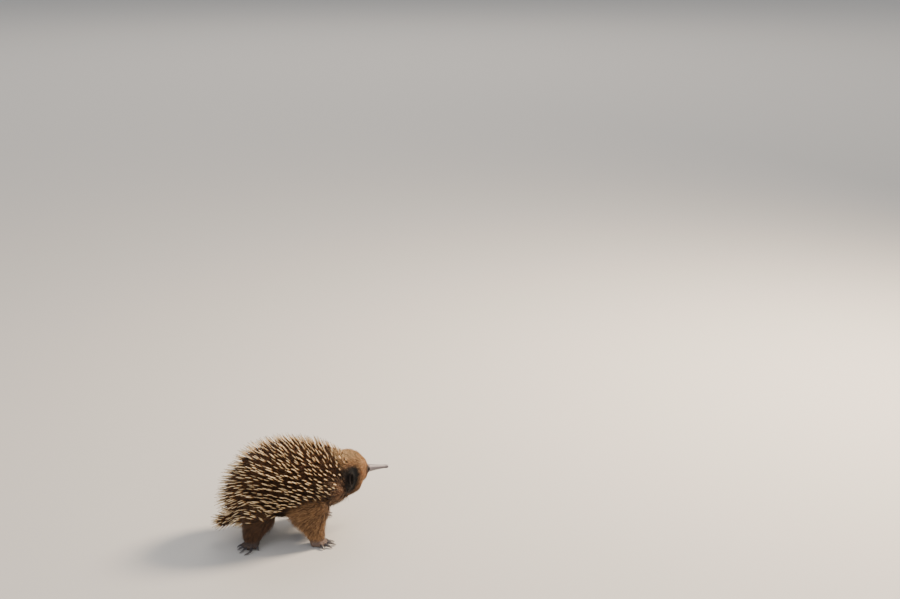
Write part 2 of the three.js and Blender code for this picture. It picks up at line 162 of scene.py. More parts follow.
def placeOn(form, points):
    # the other way: share, angle and level of points, where level 1 is the form's surface
    samples = np.linspace(0, 1, 49)
    middles = stationAt(form["middles"], samples)
    share = samples[((points[:, None] - middles[None]) ** 2).sum(-1).argmin(1)]
    reach = stepsOf(middles).sum()
    for _ in range(2):
        place = frameOn(form, share)
        share = np.clip(share + dot(points - place["middle"], place["ahead"]) / reach, 0, 1)
    place = frameOn(form, share)
    away = points - place["middle"]
    over = dot(away, place["ahead"])
    cap = np.where(over < 0, form["caps"][0], form["caps"][1])
    ends = np.where((share <= 0) | (share >= 1), np.clip(over / cap, -1, 1), 0)
    high = dot(away, place["above"])
    wide = dot(away, place["side"]) / place["halves"][:, 0]
    high = high / np.where(high > 0, place["halves"][:, 1], place["halves"][:, 2])
    level = np.sqrt(wide**2 + high**2 + (over / cap * (ends != 0)) ** 2)
    return share + np.arcsin(ends) / (math.pi / 2), np.arctan2(wide, high), level


# Each station: the middle's x, y, z and the half sizes to the side, above and below, in
# millimetres, as the solids have them

bodyForm = makeForm([
    (-98, 0, 66, 50, 51, 36),
    (-78, 0, 90, 68, 67, 54),
    (-46, 0, 108, 81, 82, 64),
    (-8, 0, 114, 83, 84, 67),
    (38, 0, 116, 76, 77, 64),
    (80, 4, 119, 61, 63, 56),
    (108, 12, 122, 48, 53, 50),
    (130, 22, 124.5, 41, 46, 45),
    (148, 30, 123, 27, 31, 29),
], (26, 13))
beakForm = makeForm([
    (150, 31, 122.5, 10.5, 10, 10),
    (166, 38, 120.5, 8.6, 8.2, 8.2),
    (183, 45.5, 118, 6.2, 5.6, 5.6),
    (199, 52.5, 115.5, 4.6, 4, 4),
    (207, 56, 114, 4.4, 3.8, 3.6),
], (4, 4))
muzzleForm = makeForm([
    (152, 31.8, 122.2, 18, 19, 18),
    (158, 34.4, 121.6, 12.2, 12, 11.8),
    (166, 38, 120.5, 8.6, 8.2, 8.2),
], (2, 1))
tailForm = makeForm([
    (-114, 0, 52, 19, 16, 14),
    (-133, 0, 44, 15, 13, 11),
    (-148, 0, 37, 11, 9, 8),
], (6, 8))
legForms = {name: makeForm(stations, (12, 5), forward) for name, stations in {
    "foreleg_right": [
        (28, -44, 92, 30, 50, 54),
        (32, -60, 66, 26, 40, 44),
        (37, -70, 38, 19, 24, 25),
        (40, -73, 18, 16, 17, 17),
        (41, -74, 8, 15, 15, 15),
    ],
    "foreleg_left": [
        (34, 44, 92, 30, 50, 54),
        (40, 60, 66, 26, 39, 43),
        (46, 70, 38, 19, 24, 25),
        (49, 73, 18, 16, 17, 17),
        (50, 74, 8, 15, 15, 15),
    ],
    "hindleg_right": [
        (-74, -38, 88, 32, 44, 36),
        (-80, -49, 60, 28, 38, 32),
        (-88, -55, 36, 20, 26, 24),
        (-92, -57, 19, 16, 18, 18),
        (-93, -58, 8, 15, 15, 15),
    ],
    "hindleg_left": [
        (-58, 38, 88, 32, 42, 40),
        (-59, 49, 60, 28, 36, 34),
        (-61, 55, 36, 20, 25, 25),
        (-63, 57, 19, 16, 18, 18),
        (-64, 58, 8, 15, 15, 15),
    ],
}.items()}
bodyLength = stepsOf(bodyForm["middles"]).sum()

# Places on the head, as the solids have them
eyePlace = {"share": 1.36, "round": 78, "radius": 4.1, "sunk": 1.6}
earPlace = {"share": 0.755, "round": 89, "halfTall": 14, "halfWide": 5, "lip": 3}


def onHead(place, side):
    return surfaceOn(bodyForm, np.array(place["share"]), -side * math.radians(place["round"]))


def eyeMiddle(side):
    centre, out = onHead(eyePlace, side)
    return centre - out * eyePlace["sunk"] * mm


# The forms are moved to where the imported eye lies, which sets the row's origin
eyeLow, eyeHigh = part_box("eye_right")
shift = np.array((eyeLow + eyeHigh) / 2) - eyeMiddle(1)
for movedForm in [bodyForm, beakForm, muzzleForm, tailForm, *legForms.values()]:
    movedForm["middles"] += shift
beakBase = beakForm["middles"][0]


def placedForm(stations, caps, over=upward):
    form = makeForm(stations, caps, over)
    form["middles"] += shift
    return form


feet = {
    "foreleg_right": {"ankle": (41, -74), "heading": -14, "mirror": 1, "pad": "front"},
    "foreleg_left": {"ankle": (50, 74), "heading": 14, "mirror": -1, "pad": "front"},
    "hindleg_right": {"ankle": (-93, -58), "heading": -128, "mirror": 1, "pad": "hind"},
    "hindleg_left": {"ankle": (-64, 58), "heading": 122, "mirror": -1, "pad": "hind"},
}
# each claw: angle from the foot's line, length, half width and sideways bend
pads = {
    "front": {
        "behind": 14, "ahead": 18, "halfWidth": 19, "height": 16,
        "claws": [
            (-54, 12, 2.9, 0), (-26, 17, 3.8, 0), (0, 18, 4, 0), (26, 17, 3.8, 0), (54, 11, 2.9, 0),
        ],
    },
    "hind": {
        "behind": 13, "ahead": 20, "halfWidth": 17, "height": 15,
        "claws": [
            (-62, 7, 2.2, 0), (-31, 26, 2.8, 26), (-3, 18, 2.8, 14), (22, 12, 2.5, 8),
            (48, 9, 2.3, 0),
        ],
    },
}
knuckle = {"radius": 4.6, "height": 6.2}


def onFoot(foot, angle, reach, height):
    turned = math.radians(foot["heading"] + angle)
    x, y = foot["ankle"]
    place = np.array([x + reach * math.cos(turned), y + reach * math.sin(turned), height])
    return place * mm + shift


def padFormOf(foot):
    pad = pads[foot["pad"]]
    behind, ahead, height = pad["behind"], pad["ahead"], pad["height"]
    stations = []
    for reach, wide, tall in [
        (-behind * 0.6, 0.78, 0.55),
        (0, 0.92, 0.56),
        (ahead * 0.55, 1, 0.42),
        (ahead, 0.86, 0.26),
    ]:
        middle = (onFoot(foot, 0, reach, height * 0.42) - shift) / mm
        stations.append((*middle, pad["halfWidth"] * wide, height * tall, height * 0.6))
    return placedForm(stations, (behind * 0.4, 5))


def toesOf(foot):
    pad = pads[foot["pad"]]
    angles = [claw[0] for claw in pad["claws"]]
    spreads = [pad["ahead"] * (1 - 0.12 * abs(math.sin(math.radians(angle)))) for angle in angles]
    return [
        onFoot(foot, -angle * foot["mirror"], spread, knuckle["height"])
        for angle, spread in zip(angles, spreads)
    ]


# Meshes and objects from arrays


def meshFrom(name, points, faces):
    # faces is a list of arrays, each with rows of three or of four corners
    mesh = bpy.data.meshes.new(name)
    mesh.vertices.add(len(points))
    mesh.vertices.foreach_set("co", np.ascontiguousarray(points, np.float32).ravel())
    corners = np.concatenate([group.ravel() for group in faces])
    sizes = np.concatenate([np.full(len(group), group.shape[1]) for group in faces])
    mesh.loops.add(len(corners))
    mesh.loops.foreach_set("vertex_index", corners.astype(np.int32))
    mesh.polygons.add(len(sizes))
    starts = np.concatenate([[0], np.cumsum(sizes)[:-1]]).astype(np.int32)
    mesh.polygons.foreach_set("loop_start", starts)
    mesh.update(calc_edges=True)
    mesh.polygons.foreach_set("use_smooth", np.full(len(sizes), True))
    return mesh


def readAll(items, name, kind):
    values = np.zeros(len(items) * 3, kind)
    items.foreach_get(name, values)
    return values.reshape(-1, 3)


def arraysOf(mesh):
    mesh.calc_loop_triangles()
    points, normals = (
        readAll(mesh.vertices, name, np.float32).astype(float) for name in ("co", "normal")
    )
    return points, normals, readAll(mesh.loop_triangles, "vertices", np.int32)


def setAttributes(mesh, **attributes):
    for name, values in attributes.items():
        if values.ndim == 2:
            padded = np.ones((len(values), 4), np.float32)
            padded[:, :3] = values
            made = mesh.attributes.new(name, "FLOAT_COLOR", "POINT")
            made.data.foreach_set("color", padded.ravel())
        else:
            made = mesh.attributes.new(name, "FLOAT", "POINT")
            made.data.foreach_set("value", values.astype(np.float32))


def setBakeMap(mesh, uvs, seams=False):
    corners = np.zeros(len(mesh.loops), np.int32)
    mesh.loops.foreach_get("vertex_index", corners)
    placed = uvs[corners]
    if seams:
        # corners that reach over a seam are brought back beside their triangle's first one
        placed = placed.reshape(-1, 3, 2)
        first = placed[:, :1]
        far = np.abs(placed - first).max(-1, keepdims=True) > 0.08
        placed = np.where(far, first + 0.001, placed)
    layer = mesh.uv_layers.new(name="OFBake")
    layer.data.foreach_set("uv", placed.astype(np.float32).ravel())


def addObject(name, data):
    made = bpy.data.objects.new(name, data)
    bpy.context.scene.collection.objects.link(made)
    return made


def addPiece(name, mesh, material, replaced=()):
    piece = addObject(name, mesh)
    mesh.materials.append(material)
    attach(piece, "root")
    if replaced:
        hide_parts(*replaced)


def bandFaces(low, high, count):
    # quads between two rings of corners that start at low and at high
    here = np.arange(count)
    after = (here + 1) % count
    return np.stack([low + here, high + here, high + after, low + after], 1)


def tubeFaces(rings, sides):
    # rings in a row, with a point before the first one and another behind the last one
    here = np.arange(sides)
    after = (here + 1) % sides
    last = 1 + rings * sides
    bands = [bandFaces(1 + row * sides, 1 + (row + 1) * sides, sides) for row in range(rings - 1)]
    start = np.stack([np.zeros(sides, int), 1 + here, 1 + after], 1)
    end = np.stack([np.full(sides, last), last - sides + after, last - sides + here], 1)
    return [np.vstack(bands), start, end]


def loftArrays(form, steps, sides, capSteps, grow=0.0):
    # grow is one number, or a function of the share for a coat that thins out
    growAt = grow if callable(grow) else lambda share: grow
    shares = np.concatenate([
        np.arange(1 - capSteps, 0) / capSteps,
        np.linspace(0, 1, steps + 1),
        1 + np.arange(1, capSteps) / capSteps,
    ])
    turns = 2 * math.pi * np.arange(sides) / sides
    rings = [pointOn(form, share, turns, growAt(share)) for share in shares]
    first, last = (pointOn(form, end, [0.0], growAt(end)) for end in (-1.0, 2.0))
    return np.vstack([first, *rings, last]), tubeFaces(len(shares), sides)


def ballArrays(centre, radius, sides=24, rows=14):
    turns = 2 * math.pi * np.arange(sides) / sides
    circle = np.stack([np.cos(turns), np.sin(turns), np.zeros(sides)], 1)
    rings = [
        centre + radius * (circle * math.sin(tilt) + upward * math.cos(tilt))
        for tilt in np.linspace(0, math.pi, rows + 1)[1:-1]
    ]
    points = np.vstack([centre + radius * upward, *rings, centre - radius * upward])
    return points, tubeFaces(rows - 1, sides)


def joinArrays(parts):
    points, groups, base = [], [], 0
    for partPoints, partFaces in parts:
        points.append(partPoints)
        groups += [faces + base for faces in partFaces]
        base += len(partPoints)
    return np.vstack(points), groups


# Where a point on the animal belongs: shares of body, head, legs, feet and tail

hindFrom = shift[0] - 20 * mm
tailFrom = shift[0] - 100 * mm
# where each zone begins and is full: heights, differences of level or shares of the body
zoneSpans = {
    "low": (22, 34), "foot": (12, 24), "leg": (-0.12, 0.22), "tail": (-0.1, 0.3),
    "head": (0.64, 0.74),
}


def zonesAt(points):
    share, around, bodyLevel = placeOn(bodyForm, points)
    tailLevel = placeOn(tailForm, points)[2]
    legLevels = {name: placeOn(form, points)[2] for name, form in legForms.items()}
    nearest = np.min(list(legLevels.values()), axis=0)
    low = 1 - smooth(points[:, 2] / mm, *zoneSpans["low"])
    leg = np.maximum(smooth(bodyLevel - nearest, *zoneSpans["leg"]), low)
    return {
        "share": share,
        "around": around,
        "leg": leg,
        "foot": 1 - smooth(points[:, 2] / mm, *zoneSpans["foot"]),
        "tail": smooth(bodyLevel - tailLevel, *zoneSpans["tail"]) * (points[:, 0] < tailFrom),
        "head": smooth(share, *zoneSpans["head"]) * (1 - leg),
        "legLevels": legLevels,
        "hind": (points[:, 0] < hindFrom) * leg,
    }


def turnedOf(zones):
    # degrees from the top of the body, alike on both sides
    return np.degrees(np.abs(zones["around"]))


# Markings: one rule for the skin and the coat, root and tip colours in sRGB
markings = {
    "back": ((50, 32, 20), (112, 74, 44)),
    "flank": ((36, 25, 17), (82, 56, 36)),
    "belly": ((30, 21, 15), (60, 44, 31)),
    "foreleg": ((62, 40, 24), (178, 136, 94)),
    # the hind leg is darker than the foreleg: darker fur, with painted shade from under the body
    "hindleg": ((42, 28, 18), (112, 80, 54)),
    "crown": ((136, 94, 56), (250, 214, 158)),
    "temple": ((84, 48, 26), (180, 116, 68)),
    "face": ((116, 78, 48), (226, 178, 128)),
    "throat": ((84, 58, 38), (150, 110, 76)),
    "muzzle": ((104, 84, 72), (176, 138, 104)),
    "eyePatch": ((34, 24, 19), (64, 45, 33)),
    "rim": ((130, 94, 70), (230, 186, 148)),
    # near-black: dark fur of the ear's hollow, with painted shade of the recess and the cheek round
    # it
    "hollow": ((9, 7, 5), (48, 35, 27)),
    "foot": ((108, 90, 80), (160, 130, 104)),
    # the hind foot is darker than the forefoot: darker skin, with painted shade from under the body
    "hindfoot": ((82, 68, 60), (112, 90, 72)),
}
# where a tone begins and is full, in degrees from the top
toneTurns = {
    "flank": (35, 95), "belly": (112, 140), "throat": (100, 135), "face": (40, 90),
    "chin": (105, 145),
}
# the same in shares of the body, in millimetres from the beak and in shares of the eye's patch
throatShare, muzzleReach, eyeReach = (0.62, 0.8), (9, 26), (0.6, 1.1)
hollowPlace = {
    "share": 0.745, "wide": 0.124, "slant": 0.02, "top": 54, "bottom": 140, "point": 0.29,
    "taper": 1.25, "soft": 0.14, "depth": 5,
}
rimPlace = {"share": 0.628, "wide": 0.032, "top": 84, "bottom": 132, "soft": 12}
temple = {"from": 0.67, "to": 0.9, "top": 30, "bottom": 88, "soft": 14, "strength": 0.6}
eyePatch = {"wide": 8.5, "tall": 11.5}


def hollowAt(zones, grow=0.0):
    # the hollow of the ear, painted near-black as dark fur with painted shade of the recess: broad
    # at the top and running to a point below
    turned, top, bottom = turnedOf(zones), hollowPlace["top"], hollowPlace["bottom"]
    low = np.clip((turned - top) / (bottom - top), 0, 1)
    wide = hollowPlace["wide"] * (1 - (1 - hollowPlace["point"]) * low ** hollowPlace["taper"])
    across = np.abs(zones["share"] - hollowPlace["share"] + hollowPlace["slant"] * low) / wide
    down = np.abs(turned - (top + bottom) / 2) / (bottom - (top + bottom) / 2)
    reach = (across**3 + down**3) ** (1 / 3)
    return 1 - smooth(reach, 1 - hollowPlace["soft"] + grow, 1 + hollowPlace["soft"] + grow)


def rimAt(zones):
    # the paler strip behind the hollow
    top, bottom, soft = rimPlace["top"], rimPlace["bottom"], rimPlace["soft"]
    aside = (zones["share"] - rimPlace["share"]) / rimPlace["wide"]
    return window(turnedOf(zones), top - soft, top, bottom, bottom + soft) * np.exp(-(aside**2))


def templeAt(zones):
    # the redder fur between the crown and the hollow
    top, bottom, soft = temple["top"], temple["bottom"], temple["soft"]
    tall = window(turnedOf(zones), top, top + soft, bottom - soft, bottom)
    start, end = temple["from"], temple["to"]
    long = window(zones["share"], start - 0.03, start + 0.03, end - 0.08, end)
    return tall * long * temple["strength"]


def nearEyes(points):
    # 1 at the eyes, 0 beyond the dark patch round them
    near = np.zeros(len(points))
    for side in sideSigns.values():
        away = points - onHead(eyePlace, side)[0]
        flat = np.hypot(away[:, 0], away[:, 1]) / (eyePatch["wide"] * mm)
        reach = np.hypot(flat, away[:, 2] / (eyePatch["tall"] * mm))
        near = np.maximum(near, 1 - smooth(reach, *eyeReach))
    return near


def painted(tones, first, layers):
    colour = tones[first]
    for name, share in layers:
        colour = blend(colour, tones[name], share)
    return colour


def coloursAt(points, zones):
    offLegs, fromBeak = 1 - zones["leg"], distance(points, beakBase) / mm
    around = {name: smooth(turnedOf(zones), *span) for name, span in toneTurns.items()}
    headLayers = [
        ("face", around["face"]),
        ("temple", templeAt(zones)),
        ("throat", around["chin"]),
    ]
    layers = [
        ("flank", around["flank"]),
        ("belly", around["belly"]),
        ("throat", smooth(zones["share"], *throatShare) * around["throat"]),
        ("head", zones["head"]),
        ("rim", rimAt(zones) * offLegs),
        # the hollow's near-black: dark fur with painted shade of the recess
        ("hollow", hollowAt(zones) * offLegs),
        ("muzzle", 1 - smooth(fromBeak, *muzzleReach)),
        ("eyePatch", nearEyes(points)),
        ("legs", zones["leg"]),
        ("feet", zones["foot"]),
    ]
    result = []
    for end in (0, 1):
        tones = {name: linear(pair[end]) for name, pair in markings.items()}
        tones["head"] = painted(tones, "crown", headLayers)
        # the hind legs and feet take darker tones, partly painted shade from under the body
        tones["legs"] = painted(tones, "foreleg", [("hindleg", zones["hind"])])
        tones["feet"] = painted(tones, "foot", [("hindfoot", zones["hind"])])
        result.append(painted(tones, "back", layers))
    return result


# The unwrap that skin and coat share: the body above, legs and tail in five fields below
unwrap = {"body": (0.02, 0.36, 0.96, 0.62), "low": (0.02, 0.02, 0.18, 0.3), "step": 0.195}


def unwrapAt(points, zones):
    left, low, wide, tall = unwrap["body"]
    u = left + wide * (zones["share"] + 1) / 3
    v = low + tall * (zones["around"] / (2 * math.pi) + 0.5)
    left, low, wide, tall = unwrap["low"]
    levels = np.array([*zones["legLevels"].values(), np.where(zones["tail"] > 0.5, 0, 9)])
    inField = (zones["leg"] > 0.5) | (zones["tail"] > 0.5)
    for index, form in enumerate([*legForms.values(), tailForm]):
        here = inField & (levels.argmin(0) == index)
        share, around = placeOn(form, points[here])[:2]
        u[here] = left + unwrap["step"] * index + wide * (around / (2 * math.pi) + 0.5)
        v[here] = low + tall * (share + 1) / 3
    return np.stack([u, v], 1)


# Shader nodes; an input gets a value or a link


def feed(tree, node, inputs):
    for label, value in inputs.items():
        if isinstance(value, bpy.types.NodeSocket):
            tree.links.new(value, node.inputs[label])
        else:
            node.inputs[label].default_value = value


def addNode(tree, kind, inputs, **settings):
    node = tree.nodes.new("ShaderNode" + kind)
    for name, value in settings.items():
        setattr(node, name, value)
    feed(tree, node, inputs)
    return node.outputs


def mathNode(tree, operation, one, other):
    return addNode(tree, "Math", {0: one, 1: other}, operation=operation)[0]


def plus(tree, one, other):
    return mathNode(tree, "ADD", one, other)


def times(tree, one, other):
    return mathNode(tree, "MULTIPLY", one, other)


def scaled(tree, colour, gain):
    return addNode(tree, "VectorMath", {0: colour, "Scale": gain}, operation="SCALE")[0]


def swung(tree, colour, offset, depth):
    # a colour made lighter or darker as the offset from the middle says
    gain = plus(tree, times(tree, times(tree, offset, depth), 2.0), 1.0)
    return scaled(tree, colour, gain)


def mixNode(tree, factor, one, other):
    inputs = {"Factor": factor, "A": one, "B": other}
    return addNode(tree, "Mix", inputs, data_type="RGBA", clamp_factor=True)["Result"]


def rampNode(tree, factor, tones):
    made = addNode(tree, "ValToRGB", {"Fac": factor})["Color"]
    elements = made.node.color_ramp.elements
    while len(elements) < len(tones):
        elements.new(0.5)
    for element, (place, colour) in zip(elements, tones):
        element.position = place
        element.color = opaque(colour)
    return made


def attributeNode(tree, name, output="Fac"):
    return addNode(tree, "Attribute", {}, attribute_name=name)[output]


def objectPlace(tree):
    return addNode(tree, "TexCoord", {})["Object"]


def bumpNode(tree, height, strength, depth):
    inputs = {"Strength": strength, "Distance": depth, "Height": height}
    return addNode(tree, "Bump", inputs)["Normal"]


def newGroup(name, inputs, outputs):
    group = bpy.data.node_groups.new(name, "ShaderNodeTree")
    for label, value in inputs.items():
        kind = "NodeSocketFloat" if isinstance(value, float) else "NodeSocketColor"
        socket = group.interface.new_socket(name=label, in_out="INPUT", socket_type=kind)
        socket.default_value = value
    for label, kind in outputs.items():
        group.interface.new_socket(name=label, in_out="OUTPUT", socket_type=kind)
    return group, group.nodes.new("NodeGroupInput").outputs, group.nodes.new("NodeGroupOutput")


def makeMottle():
    # slow and fine changes of tone over any surface
    inputs = {"Color": (0.5, 0.5, 0.5, 1), "Broad": 30.0, "Fine": 400.0, "Depth": 0.25}
    outputs = {"Color": "NodeSocketColor", "Height": "NodeSocketFloat"}
    group, given, out = newGroup("mottle", inputs, outputs)
    place = objectPlace(group)
    inputs = [{"Detail": 4.0, "Scale": given["Broad"]}, {"Detail": 3.0, "Scale": given["Fine"]}]
    broad, fine = (addNode(group, "TexNoise", {**each, "Vector": place})["Fac"] for each in inputs)
    offset = mathNode(group, "SUBTRACT", plus(group, broad, fine), 1.0)
    toned = swung(group, given["Color"], offset, given["Depth"])
    feed(group, out, {"Color": toned, "Height": fine})
    return group


def makeStrand():
    # a hair's tone from its root to its tip, with each lock a little lighter or darker
    inputs = {
        "Root": (0.1, 0.1, 0.1, 1), "Tip": (0.5, 0.5, 0.5, 1),
        "Along": 0.0, "Chance": 0.5, "Spread": 0.5,
    }
    outputs = {"Color": "NodeSocketColor", "Roughness": "NodeSocketFloat"}
    group, given, out = newGroup("strand", inputs, outputs)
    fade = mixNode(group, given["Along"], given["Root"], given["Tip"])
    offset = mathNode(group, "SUBTRACT", given["Chance"], 0.5)
    toned = swung(group, fade, offset, given["Spread"])
    rough = plus(group, times(group, given["Chance"], 0.2), 0.5)
    feed(group, out, {"Color": toned, "Roughness": rough})
    return group


mottle = makeMottle()
strand = makeStrand()


def mottled(tree, colour, broad, fine, depth):
    inputs = {"Color": colour, "Broad": broad, "Fine": fine, "Depth": depth}
    return addNode(tree, "Group", inputs, node_tree=mottle)


def newMaterial(name):
    material = bpy.data.materials.new(name)
    material.use_nodes = True
    return material, material.node_tree, material.node_tree.nodes["Principled BSDF"]


def furMaterial(name, spread, sheen=0.0):
    material, tree, shader = newMaterial(name)
    hair = addNode(tree, "Group", {}, node_tree=strand)
    feed(tree, hair["Color"].node, {
        "Root": attributeNode(tree, "rootTone", "Color"),
        "Tip": attributeNode(tree, "tipTone", "Color"),
        "Along": attributeNode(tree, "along"),
        "Chance": attributeNode(tree, "chance"),
        "Spread": spread,
    })
    feed(tree, shader, {
        "Base Color": hair["Color"], "Roughness": hair["Roughness"], "Sheen Weight": sheen,
        "Sheen Roughness": 0.5, "Specular IOR Level": 0.3,
    })
    return material


def skinMaterial():
    material, tree, shader = newMaterial("skin")
    tone = mottled(tree, attributeNode(tree, "rootTone", "Color"), 45.0, 900.0, 0.3)
    cellInputs = {"Scale": 620, "Vector": objectPlace(tree)}
    cells = addNode(tree, "TexVoronoi", cellInputs, feature="DISTANCE_TO_EDGE")
    folds = mathNode(tree, "MINIMUM", cells["Distance"], 0.12)
    scaly = times(tree, attributeNode(tree, "scaly"), 5.0)
    height = plus(tree, times(tree, folds, scaly), tone["Height"])
    relief = times(tree, height, attributeNode(tree, "relief"))
    feed(tree, shader, {
        "Base Color": tone["Color"], "Roughness": 0.75,
        "Normal": bumpNode(tree, relief, 0.8, 0.0007),
    })
    return material


# Skin: one surface from rump to face with the legs and feet, under the coat

# how deep it lies within the forms: from one depth to another over a span of shares
skinSettings = {
    "body": (5.5, 3.2, 0.6, 0.9),
    "leg": (5.0, 0.6, 0.45, 0.85),
    "pad": (0.6, 3.2, 0.25, 0.8),
    "tail": 3,
    "toeRadius": knuckle["radius"] + 0.5,
    "voxel": 1.8,
    "smoothing": 3,
}
dents = [
    {
        "place": earPlace, "tall": earPlace["halfTall"], "wide": earPlace["halfWide"], "near": 14,
        "sink": (0.35, 1.05), "depth": 8, "lift": (0.9, 1.2, 1.3, 2.1), "mound": 1.6,
    },
    {
        "place": eyePlace, "tall": eyePlace["radius"], "wide": eyePlace["radius"], "near": 10,
        "sink": (0.55, 0.85), "depth": 3.0, "lift": (0.6, 0.95, 1.15, 2.3), "mound": 2.3,
    },
]
lidSettings = {
    "points": 48, "sides": 10, "wide": 0.98, "tall": 0.62, "upper": 1.15, "reach": 1.06,
    "thick": 0.55, "thicker": 0.15, "folds": 11, "foldDepth": 0.12, "spread": (0.8, 0.9),
    "height": 0.8, "sunk": 0.5,
}


def depthAlong(name):
    near, far, low, high = skinSettings[name]
    return lambda share: -mm * float(mix(near, far, smooth(share, low, high)))


def skinShells():
    shells = [
        loftArrays(bodyForm, 60, 72, 10, depthAlong("body")),
        loftArrays(tailForm, 10, 32, 5, -skinSettings["tail"] * mm),
        loftArrays(muzzleForm, 12, 48, 4),
    ]
    for name, foot in feet.items():
        shells.append(loftArrays(legForms[name], 24, 40, 5, depthAlong("leg")))
        shells.append(loftArrays(padFormOf(foot), 12, 36, 6, depthAlong("pad")))
        shells += [ballArrays(toe, skinSettings["toeRadius"] * mm) for toe in toesOf(foot)]
    return shells


def remeshed(name, arrays):
    # one closed skin over all the shells
    rough = addObject(name, meshFrom(name, *arrays))
    remesh = rough.modifiers.new("remesh", "REMESH")
    remesh.mode = "VOXEL"
    remesh.voxel_size = skinSettings["voxel"] * mm
    soften = rough.modifiers.new("soften", "SMOOTH")
    soften.factor = 0.5
    soften.iterations = skinSettings["smoothing"]
    graph = bpy.context.evaluated_depsgraph_get()
    mesh = bpy.data.meshes.new_from_object(rough.evaluated_get(graph))
    bpy.data.objects.remove(rough)
    return mesh


def waysRound(out):
    # up and back along the surface of the head
    tall = unit(upward - out * out[2])
    back = np.cross(tall, out)
    return tall, back if back[0] < 0 else -back


def carveHead(points, zones):
    # the hollows and slits of the ears and the sockets of the eyes, pushed into the skin
    axis = stationAt(bodyForm["middles"], zones["share"])
    hollow = hollowAt(zones, -0.1) * (1 - zones["leg"])
    points = points - unit(points - axis) * (hollow * hollowPlace["depth"] * mm)[:, None]
    for side in sideSigns.values():
        for dent in dents:
            centre, out = onHead(dent["place"], side)
            tall, back = waysRound(out)
            away = points - centre
            across = np.hypot(
                dot(away, tall) / (dent["tall"] * mm), dot(away, back) / (dent["wide"] * mm),
            )
            near = np.abs(dot(away, out)) < dent["near"] * mm
            sink = (1 - smooth(across, *dent["sink"])) * dent["depth"]
            lift = window(across, *dent["lift"]) * dent["mound"]
            points += out * ((lift - sink) * near * mm)[:, None]
    return points


def lidArrays(side):
    # two folded rims that meet at the corners of the eye
    out = onHead(eyePlace, side)[1]
    tall, back = waysRound(out)
    lids, radius = lidSettings, eyePlace["radius"] * mm
    count, sides = lids["points"], lids["sides"]
    turns = np.linspace(0, 2 * math.pi, count, endpoint=False)
    high = radius * lids["tall"] * np.where(np.sin(turns) > 0, lids["upper"], 1.0)
    wide = np.cos(turns) * radius * lids["wide"]
    flatLine = back * wide[:, None] + tall * (np.sin(turns) * high)[:, None]
    reach = radius * lids["reach"]
    lift = np.sqrt(np.maximum(reach**2 - dot(flatLine, flatLine), 0))
    line = eyeMiddle(side) + flatLine + out * lift[:, None]
    outer = unit(flatLine)
    thick = mm * (lids["thick"] + lids["thicker"] * np.sin(turns))
    thick = thick * (1 + lids["foldDepth"] * np.sin(turns * lids["folds"]))
    rings, bands = [], []
    for index in range(sides):
        angle = 2 * math.pi * index / sides
        spread = thick * (lids["spread"][0] + lids["spread"][1] * math.cos(angle))
        height = thick * lids["height"] * math.sin(angle) - lids["sunk"] * mm
        rings.append(line + outer * spread[:, None] + out * height[:, None])
        bands.append(bandFaces(index * count, (index + 1) % sides * count, count))
    order = [1, 2, 3, 0] if side > 0 else [0, 3, 2, 1]
    return np.concatenate(rings), [np.vstack(bands)[:, order]]


def makeSkin():
    rough = remeshed("skin_rough", joinArrays(skinShells()))
    points, _, triangles = arraysOf(rough)
    points = carveHead(points, zonesAt(points))
    points[:, 2] = np.maximum(points[:, 2], 0.0)
    mesh = meshFrom("skin", *joinArrays([(points, [triangles]), lidArrays(1), lidArrays(-1)]))
    bpy.data.meshes.remove(rough)
    points, normals, triangles = arraysOf(mesh)
    zones = zonesAt(points)
    onBeak = 1 - smooth(placeOn(beakForm, points)[2], 1.02, 1.5)
    setAttributes(
        mesh,
        rootTone=blend(coloursAt(points, zones)[0], linear(beakSettings["baseTone"]), onBeak),
        scaly=0.12 + 0.88 * zones["foot"],
        relief=1 - 0.8 * onBeak,
    )
    setBakeMap(mesh, unwrapAt(points, zones), seams=True)
    covered = ["torso", "neck", "head", "tail", *legForms]
    addPiece("skin", mesh, skinMaterial(), covered)
    print("skin made:", len(triangles), "triangles")
    return points, normals, triangles


# The lie of the coat

lieSettings = {
    "sweepBack": 0.36, "sweepFlank": 0.8, "sweepEnd": -0.3, "endFrom": -64, "endTo": -124,
    "belly": (-1.0, 0.0, -0.25), "chest": (-0.6, 0.0, -1.0), "headPull": (-0.5, 0.0, -0.1),
    "legLow": (-0.35, 0.0, -1.0), "legHigh": (-1.0, 0.0, -0.35), "tail": (-1.0, 0.0, -0.45),
    "flankTurn": (55, 115), "bellyTurn": (110, 150), "chestShare": (0.45, 0.62),
    "chestPull": 0.6, "headShare": (0.66, 0.9), "legHeight": (30, 70),
}


def sweepAt(points, around):
    # the way the spines and the long fur of the body are swept back
    flank = smooth(np.degrees(np.abs(around)), *lieSettings["flankTurn"])
    at = (points[:, 0] - shift[0]) / mm
    atEnd = 1 - smooth(at, lieSettings["endTo"], lieSettings["endFrom"])
    rise = mix(lieSettings["sweepBack"], lieSettings["sweepFlank"], flank)
    rise = mix(rise, lieSettings["sweepEnd"], atEnd)
    sweep = np.stack([-np.ones(len(rise)), np.zeros(len(rise)), rise], 1)
    return unit(sweep), flank, atEnd


